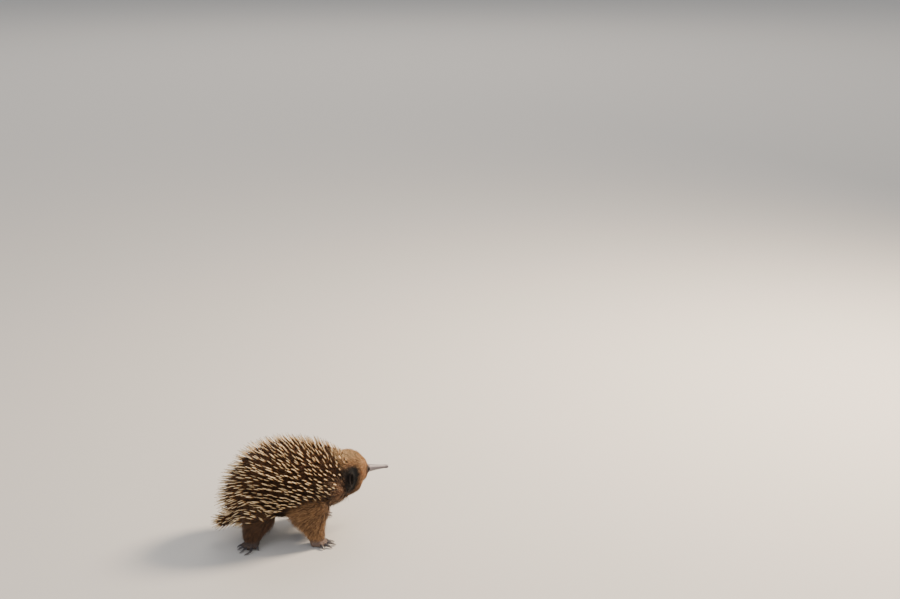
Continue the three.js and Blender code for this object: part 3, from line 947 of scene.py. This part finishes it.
def lieAt(points, normals, zones):
    names = ("belly", "chest", "headPull", "legLow", "legHigh", "tail")
    ways = {name: np.array(lieSettings[name]) for name in names}
    under = smooth(turnedOf(zones), *lieSettings["bellyTurn"])
    chest = under * smooth(zones["share"], *lieSettings["chestShare"]) * lieSettings["chestPull"]
    headWay = unit(unit(points - beakBase) + ways["headPull"])
    high = smooth(points[:, 2] / mm, *lieSettings["legHeight"])
    legWay = blend(ways["legLow"], ways["legHigh"], high)
    lie = sweepAt(points, zones["around"])[0]
    for way, share in [
        (ways["belly"], under),
        (ways["chest"], chest),
        (headWay, smooth(zones["share"], *lieSettings["headShare"])),
        (legWay, zones["leg"]),
        (ways["tail"], zones["tail"]),
    ]:
        lie = blend(lie, way, share)
    return unit(lie - normals * dot(lie, normals)[..., None])


# Spikes: closed, tapered rings in a row, for tufts and spines alike


def spikeMesh(name, shape, lineAt, tips, width, uvs, chance, **tones):
    # lineAt gives each spike's middle and the two directions across it at a share of its length
    rings, sides, count = shape["rings"], shape["sides"], len(tips)
    each = len(rings) * sides + 1
    points = np.zeros((count, each, 3))
    points[:, -1] = tips
    along = np.ones(each)
    offsets = np.full((each, 2), (0, 0.5))
    for ring, (at, wide) in enumerate(zip(rings, shape["widths"])):
        middle, across, over = lineAt(at)
        for side in range(sides):
            angle = 2 * math.pi * (side + shape["turned"]) / sides
            index = ring * sides + side
            aside = across * math.cos(angle) + over * math.sin(angle)
            points[:, index] = middle + width * wide * aside
            along[index] = at
            offsets[index] = (side / (sides - 1) - 0.5, at - 0.5)
    here = np.arange(sides)
    top = (len(rings) - 1) * sides
    bands = np.vstack([bandFaces(low, low + sides, sides) for low in range(0, top, sides)])
    caps = np.vstack([
        np.stack([np.zeros(sides - 2, int), here[1:-1], here[2:]], 1),
        np.stack([top + (here + 1) % sides, top + here, np.full(sides, each - 1)], 1),
    ])
    groups = [bands, caps]
    if shape["split"]:
        groups = [np.vstack([bands[:, [2, 3, 0]], bands[:, [1, 2, 0]], caps])]
    bases = (np.arange(count) * each)[:, None, None]
    faces = [(group + bases).reshape(-1, group.shape[1]) for group in groups]
    mesh = meshFrom(name, points.reshape(-1, 3), faces)
    tones = {label: np.repeat(values, each, axis=0) for label, values in tones.items()}
    setAttributes(mesh, **tones, along=np.tile(along, count), chance=np.repeat(chance, each))
    setBakeMap(mesh, (uvs[:, None] + offsets * shape["patch"]).reshape(-1, 2))
    return mesh


# Tufts: flattened, bent from the root's lean into the lie

tuftShape = {
    "rings": (0.0, 0.38, 0.74), "widths": (0.8, 1.0, 0.62), "sides": 3, "turned": 0.25,
    "patch": (0.003, 0.003), "split": True,
}
tuftSettings = {
    "most": 12300, "sunk": 1.2, "flat": 0.5, "toneShare": 0.024, "toneAround": 0.085,
    "lengths": (0.7, 1.25), "widths": (0.7, 1.3), "lifts": 7, "tipLifts": 8,
}


class Ground:
    # a skin as a place to root things on
    def __init__(self, points, normals, triangles):
        self.points, self.normals, self.triangles = points, normals, triangles
        first, second, third = np.moveaxis(points[triangles], 1, 0)
        self.areas = np.linalg.norm(np.cross(second - first, third - first), axis=1) / 2
        self.middles = points[triangles].mean(1)
        self.zones = zonesAt(self.middles)

    def draw(self, rng, weights, count):
        chances = self.areas * weights
        chosen = rng.choice(len(chances), count, p=chances / chances.sum())
        first, second = rng.random(count), rng.random(count)
        flip = first + second > 1
        first, second = np.where(flip, 1 - first, first), np.where(flip, 1 - second, second)
        shares = np.stack([1 - first - second, first, second], 1)[:, :, None]
        corners = self.triangles[chosen]
        normals = (self.normals[corners] * shares).sum(1)
        return (self.points[corners] * shares).sum(1), unit(normals)


def combed(seed, ground, name, weights, settings):
    # one piece of fur: roots drawn over part of the skin, each with a tuft along the lie
    rng = np.random.default_rng(seed)
    covered = (ground.areas * weights).sum() * 1e4
    count = int(min(settings["density"] * covered, tuftSettings["most"])) // thin
    roots, normals = ground.draw(rng, weights, count)
    zones = zonesAt(roots)
    ways = lieAt(roots, normals, zones)
    turn = rng.normal(0, settings["turn"], count)
    ways = unit(ways + np.cross(normals, ways) * turn[:, None])
    loose = {
        **zones,
        "share": zones["share"] + rng.normal(0, tuftSettings["toneShare"], count),
        "around": zones["around"] + rng.normal(0, tuftSettings["toneAround"], count),
    }
    rootTone, tipTone = coloursAt(roots, loose)
    size = settings["sizeAt"](roots, zones)
    length = settings["length"] * mm * size * rng.uniform(*tuftSettings["lengths"], count)
    width = settings["width"] * mm / 2 * rng.uniform(*tuftSettings["widths"], count)
    width = width * np.sqrt(np.clip(size, 0.3, 1)) * math.sqrt(thin)
    rootWay, tipWay = (
        unit(normals * np.sin(lean)[:, None] + ways * np.cos(lean)[:, None])
        for lean in [
            np.radians(settings["lift"] + rng.normal(0, tuftSettings["lifts"], count)),
            np.radians(settings["tipLift"] + rng.normal(0, tuftSettings["tipLifts"], count)),
        ]
    )
    tipWay = unit(tipWay + rng.normal(0, settings["stray"], (count, 3)))
    start = roots - normals * tuftSettings["sunk"] * mm
    bend = start + rootWay * length[:, None] * 0.5
    end = bend + tipWay * length[:, None] * 0.5
    across = unit(np.cross(rootWay, normals) + 1e-6)

    def lineAt(at):
        middle = start * (1 - at) ** 2 + bend * 2 * at * (1 - at) + end * at**2
        over = np.cross(across, unit(mix(rootWay, tipWay, at)))
        return middle, across, over * tuftSettings["flat"]

    mesh = spikeMesh(
        name, tuftShape, lineAt, end, width[:, None], unwrapAt(roots, zones), rng.random(count),
        rootTone=rootTone, tipTone=tipTone,
    )
    addPiece(name, mesh, settings["material"])
    print(name, "combed:", len(mesh.polygons), "faces")


# Spines: round, cream with a dark tip and an amber root, in staggered rows

spineShape = {
    "rings": (0.0, 0.12, 0.3, 0.5, 0.68, 0.82, 0.93), "sides": 8, "turned": 0,
    "widths": (0.62, 0.86, 1.0, 0.98, 0.8, 0.52, 0.22), "patch": (0.003, 0.013), "split": False,
}
spineSettings = {
    "gap": {"rear": 10.0, "nape": 8.8, "from": 0.25, "to": 0.6},
    "rowShare": 0.92,
    "radius": 1.18,
    "sunk": 7,
    "bow": 1.6,
    "stout": (0.86, 0.28),
    "lengths": (0.8, 1.14),
    "shorterLow": 0.22,
    "clear": {"tries": 7, "marks": (0.3, 0.5, 0.75, 1.0), "level": 1.02, "lift": 0.16},
    "flankLean": {"body": 9, "neck": 24, "from": 0.3, "to": 0.56},
    "legLean": 12,
    "lowestLeg": {"hind": 58, "fore": 88},
    "scatter": 0.32,
    "stray": 0.09,
    "tail": {
        "rows": (0.1, 0.4, 0.7, 1.0, 1.3, 1.6), "across": 8, "lowest": 105, "loose": 9,
        "length": 22, "lengths": (0.85, 1.08), "raised": 0.7, "swept": 0.72, "stray": 0.08,
    },
}
# share of the body's line, length that shows, degrees of lean, lowest place in degrees
spineStations = np.array([
    (-1, 28, 40, 170),
    (0, 27, 47, 160),
    (0.16, 28, 50, 130),
    (0.36, 28, 50, 114),
    (0.56, 28, 45, 112),
    (0.62, 26, 40, 98),
    (0.67, 23, 37, 56),
    (0.77, 17, 40, 38),
])


def spineValues(share):
    index = np.clip(np.searchsorted(spineStations[:, 0], share), 1, len(spineStations) - 1)
    low, high = spineStations[index - 1], spineStations[index]
    return blend(low, high, smooth(share, low[..., 0], high[..., 0]))[..., 1:]


def gapAt(share):
    gap = spineSettings["gap"]
    return mm * mix(gap["rear"], gap["nape"], smooth(share, gap["from"], gap["to"]))


def spineRows():
    shares = np.arange(-0.95, 0.775, 0.004)
    steps = stepsOf(pointOn(bodyForm, shares, 1.0)) / gapAt(shares[1:])
    rows = np.concatenate([[0], np.cumsum(steps / spineSettings["rowShare"])])
    return np.interp(np.arange(0.5, rows[-1]), rows, shares)


def spinePlaces(rng):
    shares, rounds = [], []
    for row, share in enumerate(spineRows()):
        lowest = math.radians(spineValues(np.array([share]))[0, 2])
        turns = np.linspace(-lowest, lowest, 90)
        travelled = np.concatenate([[0], np.cumsum(stepsOf(pointOn(bodyForm, share, turns)))])
        gap = gapAt(share)
        count = max(1, round(travelled[-1] / gap))
        targets = travelled[-1] * (np.arange(count) + 0.25 + 0.5 * (row % 2)) / count
        loose = spineSettings["scatter"] * gap
        targets = targets + loose * rng.uniform(-1, 1, count)
        rounds.append(np.interp(targets, travelled, turns))
        shares.append(share + loose / bodyLength * rng.uniform(-1, 1, count))
    return np.concatenate(shares), np.concatenate(rounds)


def overLegs(roots, normals):
    # roots that lie within a leg come out to its surface and take its normal
    legged = np.zeros(len(roots), bool)
    for form in legForms.values():
        moved = np.zeros(len(roots), bool)
        for _ in range(24):
            inside = placeOn(form, roots)[2] < 1
            moved |= inside
            roots = roots + normals * (inside * 2 * mm)[:, None]
        share, around = placeOn(form, roots)[:2]
        legNormals = normalOn(form, np.clip(share, 0.02, 0.98), around)
        normals = np.where(moved[:, None], legNormals, normals)
        legged |= moved
    return roots, normals, legged


def clearOfLegs(roots, normals, ways, length):
    # spines that would run into a leg are lifted off it, and left out where that isn't enough
    clear = spineSettings["clear"]
    for _ in range(clear["tries"]):
        inside = np.zeros(len(roots), bool)
        for part in clear["marks"]:
            marks = roots + ways * (length * part)[:, None]
            for form in legForms.values():
                inside |= placeOn(form, marks)[2] < clear["level"]
        ways = unit(ways + normals * (inside * clear["lift"])[:, None])
    return ways, ~inside


def plantBody(rng):
    shares, rounds = spinePlaces(rng)
    roots, normals, legged = overLegs(*surfaceOn(bodyForm, shares, rounds))
    shown, lean, lowest = spineValues(shares).T
    sweep, flank, atEnd = sweepAt(roots, rounds)
    flankLean = spineSettings["flankLean"]
    toNeck = smooth(shares, flankLean["from"], flankLean["to"])
    lean = lean + mix(flankLean["body"], flankLean["neck"], toNeck) * flank * (1 - atEnd)
    leaned = np.radians(lean + spineSettings["legLean"] * legged)
    ways = normals * np.cos(leaned)[:, None] + sweep * np.sin(leaned)[:, None]
    ways = unit(ways + rng.uniform(-1, 1, ways.shape) * spineSettings["stray"])
    low = smooth(np.abs(rounds) / np.radians(lowest), 0.7, 1)
    length = shown * mm * (1 - spineSettings["shorterLow"] * low)
    length = length * rng.uniform(*spineSettings["lengths"], len(shown))
    ways, clear = clearOfLegs(roots, normals, ways, length)
    lowestLeg = spineSettings["lowestLeg"]
    lowestHere = np.where(roots[:, 0] < hindFrom, lowestLeg["hind"], lowestLeg["fore"]) * mm
    clear &= ~legged | (roots[:, 2] > lowestHere)
    return roots[clear], ways[clear], length[clear]


def plantTail(rng):
    tail = spineSettings["tail"]
    shares = np.repeat(tail["rows"], tail["across"])
    spread = np.linspace(-tail["lowest"], tail["lowest"], tail["across"])
    loose = rng.uniform(-tail["loose"], tail["loose"], len(shares))
    rounds = np.radians(np.tile(spread, len(tail["rows"])) + loose)
    roots, normals = surfaceOn(tailForm, shares, rounds)
    sweep = sweepAt(roots, np.zeros(len(roots)))[0]
    stray = rng.uniform(-1, 1, roots.shape) * tail["stray"]
    ways = unit(normals * tail["raised"] + sweep * tail["swept"] + stray)
    length = tail["length"] * mm * rng.uniform(*tail["lengths"], len(roots))
    outside = placeOn(bodyForm, roots)[2] > 1.02
    return roots[outside], ways[outside], length[outside]


def spineMesh(name, roots, ways, length, chance):
    sunk = spineSettings["sunk"] * mm
    start, whole = roots - ways * sunk, (length + sunk)[:, None]
    across = unit(np.cross(ways, upward) + 1e-6)
    over = np.cross(across, ways)
    least, more = spineSettings["stout"]
    width = (spineSettings["radius"] * mm * (least + more * chance))[:, None]
    bow = (chance[:, None] - 0.5) * over * spineSettings["bow"] * mm

    def lineAt(at):
        return start + ways * (whole * at) + bow * math.sin(math.pi * at), across, over

    uvs = unwrapAt(roots, zonesAt(roots))
    return spikeMesh(name, spineShape, lineAt, start + ways * whole, width, uvs, chance)


def spineMaterial():
    material, tree, shader = newMaterial("spine")
    chance = attributeNode(tree, "chance")
    # each spine's bands sit a little further up or down than the next one's
    offset = times(tree, mathNode(tree, "SUBTRACT", chance, 0.5), 0.12)
    ramp = rampNode(tree, plus(tree, attributeNode(tree, "along"), offset), [
        (0.0, (26, 17, 12)),
        (0.38, (58, 36, 21)),
        (0.48, (150, 104, 58)),
        (0.57, (236, 204, 152)),
        (0.84, (248, 224, 184)),
        (0.9, (140, 100, 64)),
        (0.95, (34, 24, 18)),
    ])
    tone = mottled(tree, ramp, 160.0, 1400.0, 0.14)
    shade = scaled(tree, tone["Color"], plus(tree, times(tree, chance, 0.5), 0.62))
    feed(tree, shader, {
        "Base Color": shade, "Roughness": 0.36, "Specular IOR Level": 0.45,
        "Normal": bumpNode(tree, tone["Height"], 0.15, 0.0002),
    })
    return material


def makeSpines():
    rng = np.random.default_rng(811)
    body, tail = plantBody(rng), plantTail(rng)
    roots, ways, length = (np.concatenate(pair) for pair in zip(body, tail))
    chance = rng.random(len(roots))
    material = spineMaterial()
    for word, here in (("right", roots[:, 1] < 0), ("left", roots[:, 1] >= 0)):
        mesh = spineMesh("spines_" + word, roots[here], ways[here], length[here], chance[here])
        addPiece("spines_" + word, mesh, material)
    print("spines planted:", len(roots))


# Fur pieces: each covers a zone of one side


def bodySize(points, zones):
    turned = turnedOf(zones)
    neck = smooth(zones["share"], 0.5, 0.7)
    size = 1 - 0.4 * neck + 0.4 * (neck * smooth(turned, 108, 130))
    return size * (1 - 0.15 * smooth(turned, 110, 150)) * (1 - 0.3 * zones["leg"])


def headSize(points, zones):
    turned, share = turnedOf(zones), zones["share"]
    nearBeak = 1 - smooth(distance(points, beakBase), 12 * mm, 60 * mm)
    chin = 1 - 0.25 * smooth(turned, 95, 120)
    edge = hollowAt(zones, 0.35) * (share > hollowPlace["share"])
    nape = (1 - smooth(share, 0.72, 0.86)) * (1 - smooth(turned, 30, 62))
    size = (1 - 0.7 * nearBeak) * (1 - 0.5 * hollowAt(zones)) * (1 - 0.4 * edge)
    return size * chin * (1 + 0.6 * nape)


def legSize(points, zones):
    return mix(0.17, 1.0, smooth(points[:, 2], 8 * mm, 46 * mm))


def evenSize(points, zones):
    return np.ones(len(points))


coats = {
    "body": {
        "density": 36, "length": 19, "width": 0.95, "lift": 40, "tipLift": 14, "turn": 0.24,
        "stray": 0.13, "sizeAt": bodySize, "slot": "coat",
    },
    "head": {
        "density": 98, "length": 13, "width": 0.54, "lift": 34, "tipLift": 9, "turn": 0.2,
        "stray": 0.12, "sizeAt": headSize, "slot": "face_fur",
    },
    "leg": {
        "density": 48, "length": 19, "width": 0.72, "lift": 30, "tipLift": 8, "turn": 0.17,
        "stray": 0.11, "sizeAt": legSize, "slot": "leg_fur",
    },
    "ear": {
        "density": 190, "length": 3.2, "width": 0.38, "lift": 26, "tipLift": 12, "turn": 0.25,
        "stray": 0.1, "sizeAt": evenSize, "slot": "face_fur",
    },
}
tailLength = 13


def headWeights(ground):
    # denser at the hollows and the muzzle, bare at the eyes and on the beak
    zones, middles = ground.zones, ground.middles
    eyes = np.min([distance(middles, onHead(eyePlace, side)[0]) for side in (1, -1)], axis=0)
    closeUp = 1 - smooth(distance(middles, beakBase), 12 * mm, 34 * mm)
    weights = zones["head"] * (1 + 1.6 * hollowAt(zones) + 1.6 * closeUp)
    offBeak = smooth(placeOn(beakForm, middles)[2], 1.15, 1.6)
    return weights * smooth(eyes, 5.4 * mm, 7.2 * mm) * offBeak


def makeFur(ground):
    zones, height = ground.zones, ground.middles[:, 2]
    share, above = zones["share"], turnedOf(zones) < 62
    # the parting between the sides follows the head, which is turned to the left
    right = ground.middles[:, 1] < np.where(share > 0.7, (share - 0.7) * 60 * mm, 0)
    body = (1 - zones["head"]) * (1 - zones["leg"]) * (1 - 0.9 * zones["tail"])
    head = headWeights(ground)
    shortHair = smooth(height, 3 * mm, 10 * mm) * (2.4 - 1.4 * smooth(height, 14 * mm, 44 * mm))
    coats["body"]["material"] = furMaterial("body_fur", 0.8)
    coats["head"]["material"] = coats["ear"]["material"] = furMaterial("head_fur", 0.8, 0.06)
    coats["leg"]["material"] = furMaterial("leg_fur", 0.85, 0.04)
    bodyParts = {"back": above, "flank": ~above & (share > 0.25), "rump": ~above & (share <= 0.25)}
    nearestLeg = np.array(list(zones["legLevels"].values())).argmin(0)
    pieces = []
    for word, side in (("right", right), ("left", ~right)):
        for part, where in bodyParts.items():
            pieces.append((f"fur_{part}_{word}", body * side * where, coats["body"]))
        pieces.append((f"fur_head_{word}", head * side, coats["head"]))
    pieces.append(("fur_tail", zones["tail"], {**coats["body"], "length": tailLength}))
    for index, name in enumerate(legForms):
        weights = zones["leg"] * shortHair * (nearestLeg == index)
        pieces.append(("fur_" + name, weights, coats["leg"]))
    seeds = [*range(101, 109), 150, *range(109, 113)]
    for seed, piece in zip(seeds, pieces):
        combed(seed, ground, *piece)


# Beak: bare grey skin with a mouth line, nostrils and fine wrinkles

beakSettings = {
    "mouthLength": 15, "mouthBelow": 1.5, "mouthWide": 0.32, "lipAway": 0.85, "lipWide": 0.45,
    "nostrilBack": 1.5, "nostrilAside": 1.9, "nostrilAbove": 3.2, "nostrilHalves": (1.5, 0.8, 1.6),
    "mouthDepth": 0.85, "lipHeight": 0.22, "nostrilDepth": 1.3, "nostrilRim": 0.22,
    "ridgeGap": 0.55, "ridgeDepth": 0.045, "ridgeWave": 1.4,
    "baseTone": (118, 109, 113), "tipTone": (88, 82, 87), "darkTone": (24, 18, 18),
}


def beakMaterial():
    material, tree, shader = newMaterial("beak_skin")
    base, tip, dark = (opaque(beakSettings[name]) for name in ("baseTone", "tipTone", "darkTone"))
    ramp = mixNode(tree, attributeNode(tree, "along"), base, tip)
    tone = mottled(tree, ramp, 90.0, 1100.0, 0.22)
    feed(tree, shader, {
        "Base Color": mixNode(tree, attributeNode(tree, "dark"), tone["Color"], dark),
        "Roughness": 0.42, "Specular IOR Level": 0.55,
        "Normal": bumpNode(tree, tone["Height"], 0.35, 0.0003),
    })
    return material


def makeBeak():
    points, faces = loftArrays(beakForm, 120, 72, 12)
    settings = beakSettings
    end = frameOn(beakForm, np.array([1.0]))
    tip, ahead = end["middle"][0], end["ahead"][0]
    across = unit(np.cross(upward, ahead))
    away = points - tip
    inLine = dot(away, ahead)
    share, around = placeOn(beakForm, points)[:2]
    outward = unit(points - stationAt(beakForm["middles"], share))
    mouthLine = away[:, 2] - ahead[2] * inLine + settings["mouthBelow"] * mm
    within = smooth(inLine, -(settings["mouthLength"] + 3) * mm, -settings["mouthLength"] * mm)
    groove = np.exp(-((mouthLine / (settings["mouthWide"] * mm)) ** 2)) * within
    fromLip = (np.abs(mouthLine) - settings["lipAway"] * mm) / (settings["lipWide"] * mm)
    lips = np.exp(-(fromLip**2)) * within
    wave = inLine / (settings["ridgeGap"] * mm) + settings["ridgeWave"] * np.sin(around * 3)
    ridges = np.sin(wave) * settings["ridgeDepth"] * (1 - 0.5 * within)
    raised = lips * settings["lipHeight"] - groove * settings["mouthDepth"] + ridges
    points = points + outward * (raised * mm)[:, None]
    dark = groove * 0.9
    for side in sideSigns.values():
        place = tip - ahead * settings["nostrilBack"] * mm
        place = place + across * side * settings["nostrilAside"] * mm
        place = place + upward * settings["nostrilAbove"] * mm
        reach = np.sqrt(sum(
            (dot(points - place, way) / (half * mm)) ** 2
            for way, half in zip((ahead, across, upward), settings["nostrilHalves"])
        ))
        pit = 1 - smooth(reach, 0.35, 0.95)
        rim = window(reach, 0.85, 1.1, 1.2, 1.7)
        raised = rim * settings["nostrilRim"] - pit * settings["nostrilDepth"]
        points = points + outward * (raised * mm)[:, None]
        dark = np.maximum(dark, pit)
    mesh = meshFrom("beak_skin", points, faces)
    setAttributes(mesh, dark=dark, along=np.clip(share, 0, 1))
    addPiece("beak_skin", mesh, beakMaterial(), ["beak"])
    print("beak made")


# Eyes: dark wet balls in the sockets

eyeTones = [(0.0, (40, 28, 22)), (0.6, (36, 22, 15)), (0.8, (26, 15, 10)), (0.88, (3, 2, 2))]


def makeEyes():
    material, tree, shader = newMaterial("eye")
    ramp = rampNode(tree, attributeNode(tree, "facing"), eyeTones)
    feed(tree, shader, {"Base Color": ramp, "Roughness": 0.05, "Specular IOR Level": 0.4})
    for word, side in sideSigns.items():
        middle, out = eyeMiddle(side), onHead(eyePlace, side)[1]
        points, faces = ballArrays(middle, eyePlace["radius"] * mm, 40, 28)
        mesh = meshFrom("eyeball_" + word, points, faces)
        setAttributes(mesh, facing=dot(unit(points - middle), out))
        addPiece("eyeball_" + word, mesh, material, ["eye_" + word])
    print("eyes made")


# Ears: folds of skin round the back of each slit, with short hair in the hollow's near-black, which
# is dark fur with painted shade

earTone = (40, 29, 22)


def earFoldForm(side):
    centre, out = onHead(earPlace, side)
    tall, back = waysRound(out)
    lip = earPlace["lip"]
    stations = []
    for degrees in range(-75, 76, 25):
        angle = math.radians(degrees)
        thick = lip * (0.62 + 0.3 * math.cos(angle))
        place = (centre - shift) / mm - out * lip * 1.45
        place = place + tall * math.sin(angle) * (earPlace["halfTall"] + lip * 0.5)
        place = place + back * math.cos(angle) * (earPlace["halfWide"] + lip * 0.85)
        stations.append((*place, thick * 0.45, thick * 0.7, thick))
    return placedForm(stations, (2, 2), out)


def makeEars():
    for word, side in sideSigns.items():
        name = "ear_fold_" + word
        mesh = meshFrom(name, *loftArrays(earFoldForm(side), 40, 24, 5))
        fold = Ground(*arraysOf(mesh))
        count = len(mesh.vertices)
        setAttributes(mesh, rootTone=np.tile(linear(earTone), (count, 1)), relief=np.ones(count))
        addPiece(name, mesh, bpy.data.materials["skin"], ["ear_" + word])
        combed(300 + side, fold, "fur_ear_" + word, np.ones(len(fold.areas)), coats["ear"])
    print("ears made")


# Claws: dark horn, ridged along their length

clawTones = {"base": (50, 47, 51), "tip": (82, 77, 77)}


def clawFormOf(foot, toe, angle, length, halfWidth, bend):
    heading = foot["heading"] - angle * foot["mirror"]
    turnTo = -bend * foot["mirror"]
    x, y, z = (toe - shift) / mm
    stations = [(x, y, z, halfWidth, 2.4, 2.4)]
    for share, turn, drop, wide, tall in [
        (0.1, 0, 0, 1, 2.2),
        (0.55, turnTo * 0.3, 1.7, 0.85, 1.7),
        (0.94, turnTo, 4.2, 0.4, 0.8),
    ]:
        turned = math.radians(heading + turn)
        reach = knuckle["radius"] + length * share
        middle = (x + reach * math.cos(turned), y + reach * math.sin(turned), z - drop)
        stations.append((*middle, halfWidth * wide, tall, tall))
    return placedForm(stations, (1, 1))


def clawMaterial():
    material, tree, shader = newMaterial("claw_horn")
    base, tip = (opaque(clawTones[name]) for name in ("base", "tip"))
    tone = mottled(tree, mixNode(tree, attributeNode(tree, "along"), base, tip), 120.0, 900.0, 0.3)
    feed(tree, shader, {
        "Base Color": tone["Color"], "Roughness": 0.38,
        "Normal": bumpNode(tree, tone["Height"], 0.25, 0.0003),
    })
    return material


def makeClaws():
    material = clawMaterial()
    for name, foot in feet.items():
        for index, claw in enumerate(pads[foot["pad"]]["claws"]):
            form = clawFormOf(foot, toesOf(foot)[index], *claw)
            points, faces = loftArrays(form, 30, 28, 5)
            share, around = placeOn(form, points)[:2]
            ridge = np.cos(around * 7) * 0.07 * mm * (1 - smooth(share, 0.6, 1))
            points = points + unit(points - stationAt(form["middles"], share)) * ridge[:, None]
            points[:, 2] = np.maximum(points[:, 2], 0.4 * mm)
            node = f"{name.replace('leg', 'claw')}_{index + 1}"
            mesh = meshFrom(node + "_horn", points, faces)
            setAttributes(mesh, along=np.clip(share, 0, 1))
            addPiece(node + "_horn", mesh, material, [node])
    print("claws made")


# Floor, light and camera

studio = {
    "floorSize": 90.0,
    "floorTone": (206, 203, 198),
    "worldTone": (226, 228, 232),
    "worldStrength": 0.66,
    "aim": (0.0, 0.0, 0.1),
}
# each light: to the right, away and up from the aim, size, power and tone
lights = {
    "key": (2.1, 1.2, 1.9, 0.9, 215, (255, 232, 204)),
    "fill": (-1.8, -2.2, 1.7, 2.6, 22, (236, 242, 255)),
    "front": (1.4, -2.0, 1.4, 2.0, 12, (255, 248, 240)),
    "distant": (0.0, 10.0, 8.0, 8.0, 600, (255, 244, 232)),
}
# the right forefoot's sole lies at this pixel of the picture
view = {
    "lens": 60, "sensor": 36, "down": 15.5, "turn": 10, "distance": 3.15,
    "pixel": (318, 545), "picture": (900, 599),
}
viewTurn = math.radians(view["turn"])
viewAcross = np.array([math.cos(viewTurn), -math.sin(viewTurn), 0])
viewAway = np.array([math.sin(viewTurn), math.cos(viewTurn), 0])


def aimAlong(thing, place, way):
    thing.location = place
    thing.rotation_euler = Vector(way).to_track_quat("-Z", "Y").to_euler()


def makeCamera():
    down = math.radians(view["down"])
    ahead = viewAway * math.cos(down) - upward * math.sin(down)
    above = viewAway * math.sin(down) + upward * math.cos(down)
    wide, tall = view["picture"]
    focal = view["lens"] / view["sensor"] * wide
    right = (view["pixel"][0] - wide / 2) / focal
    low = (view["pixel"][1] - tall / 2) / focal
    sole = onFoot(feet["foreleg_right"], 0, 2, 0) * (1, 1, 0)
    data = bpy.data.cameras.new("camera")
    data.lens, data.sensor_width = view["lens"], view["sensor"]
    data.clip_start, data.clip_end = 0.1, 200
    camera = addObject("camera", data)
    aimAlong(camera, sole - view["distance"] * (viewAcross * right - above * low + ahead), ahead)
    bpy.context.scene.camera = camera


def makeStudio():
    half = studio["floorSize"] / 2
    corners = np.array([(-half, -half, 0), (half, -half, 0), (half, half, 0), (-half, half, 0)])
    mesh = meshFrom("floor", corners - upward * 0.0002, [np.array([[0, 1, 2, 3]])])
    material, tree, shader = newMaterial("floor")
    feed(tree, shader, {"Base Color": opaque(studio["floorTone"]), "Roughness": 0.8})
    mesh.materials.append(material)
    addObject("floor", mesh)
    world = bpy.data.worlds.new("studio")
    world.use_nodes = True
    backdrop = {"Color": opaque(studio["worldTone"]), "Strength": studio["worldStrength"]}
    feed(world.node_tree, world.node_tree.nodes["Background"], backdrop)
    bpy.context.scene.world = world
    aim = np.array(studio["aim"])
    for name, (right, away, up, size, power, tone) in lights.items():
        data = bpy.data.lights.new(name, "AREA")
        data.shape = "DISK"
        data.size, data.energy, data.color = size, power, linear(tone)
        place = aim + viewAcross * right + viewAway * away + upward * up
        aimAlong(addObject(name, data), place, aim - place)
    print("studio ready")


makeCamera()
makeStudio()
skinGround = Ground(*makeSkin())
makeSpines()
makeFur(skinGround)
makeBeak()
makeEyes()
makeEars()
makeClaws()
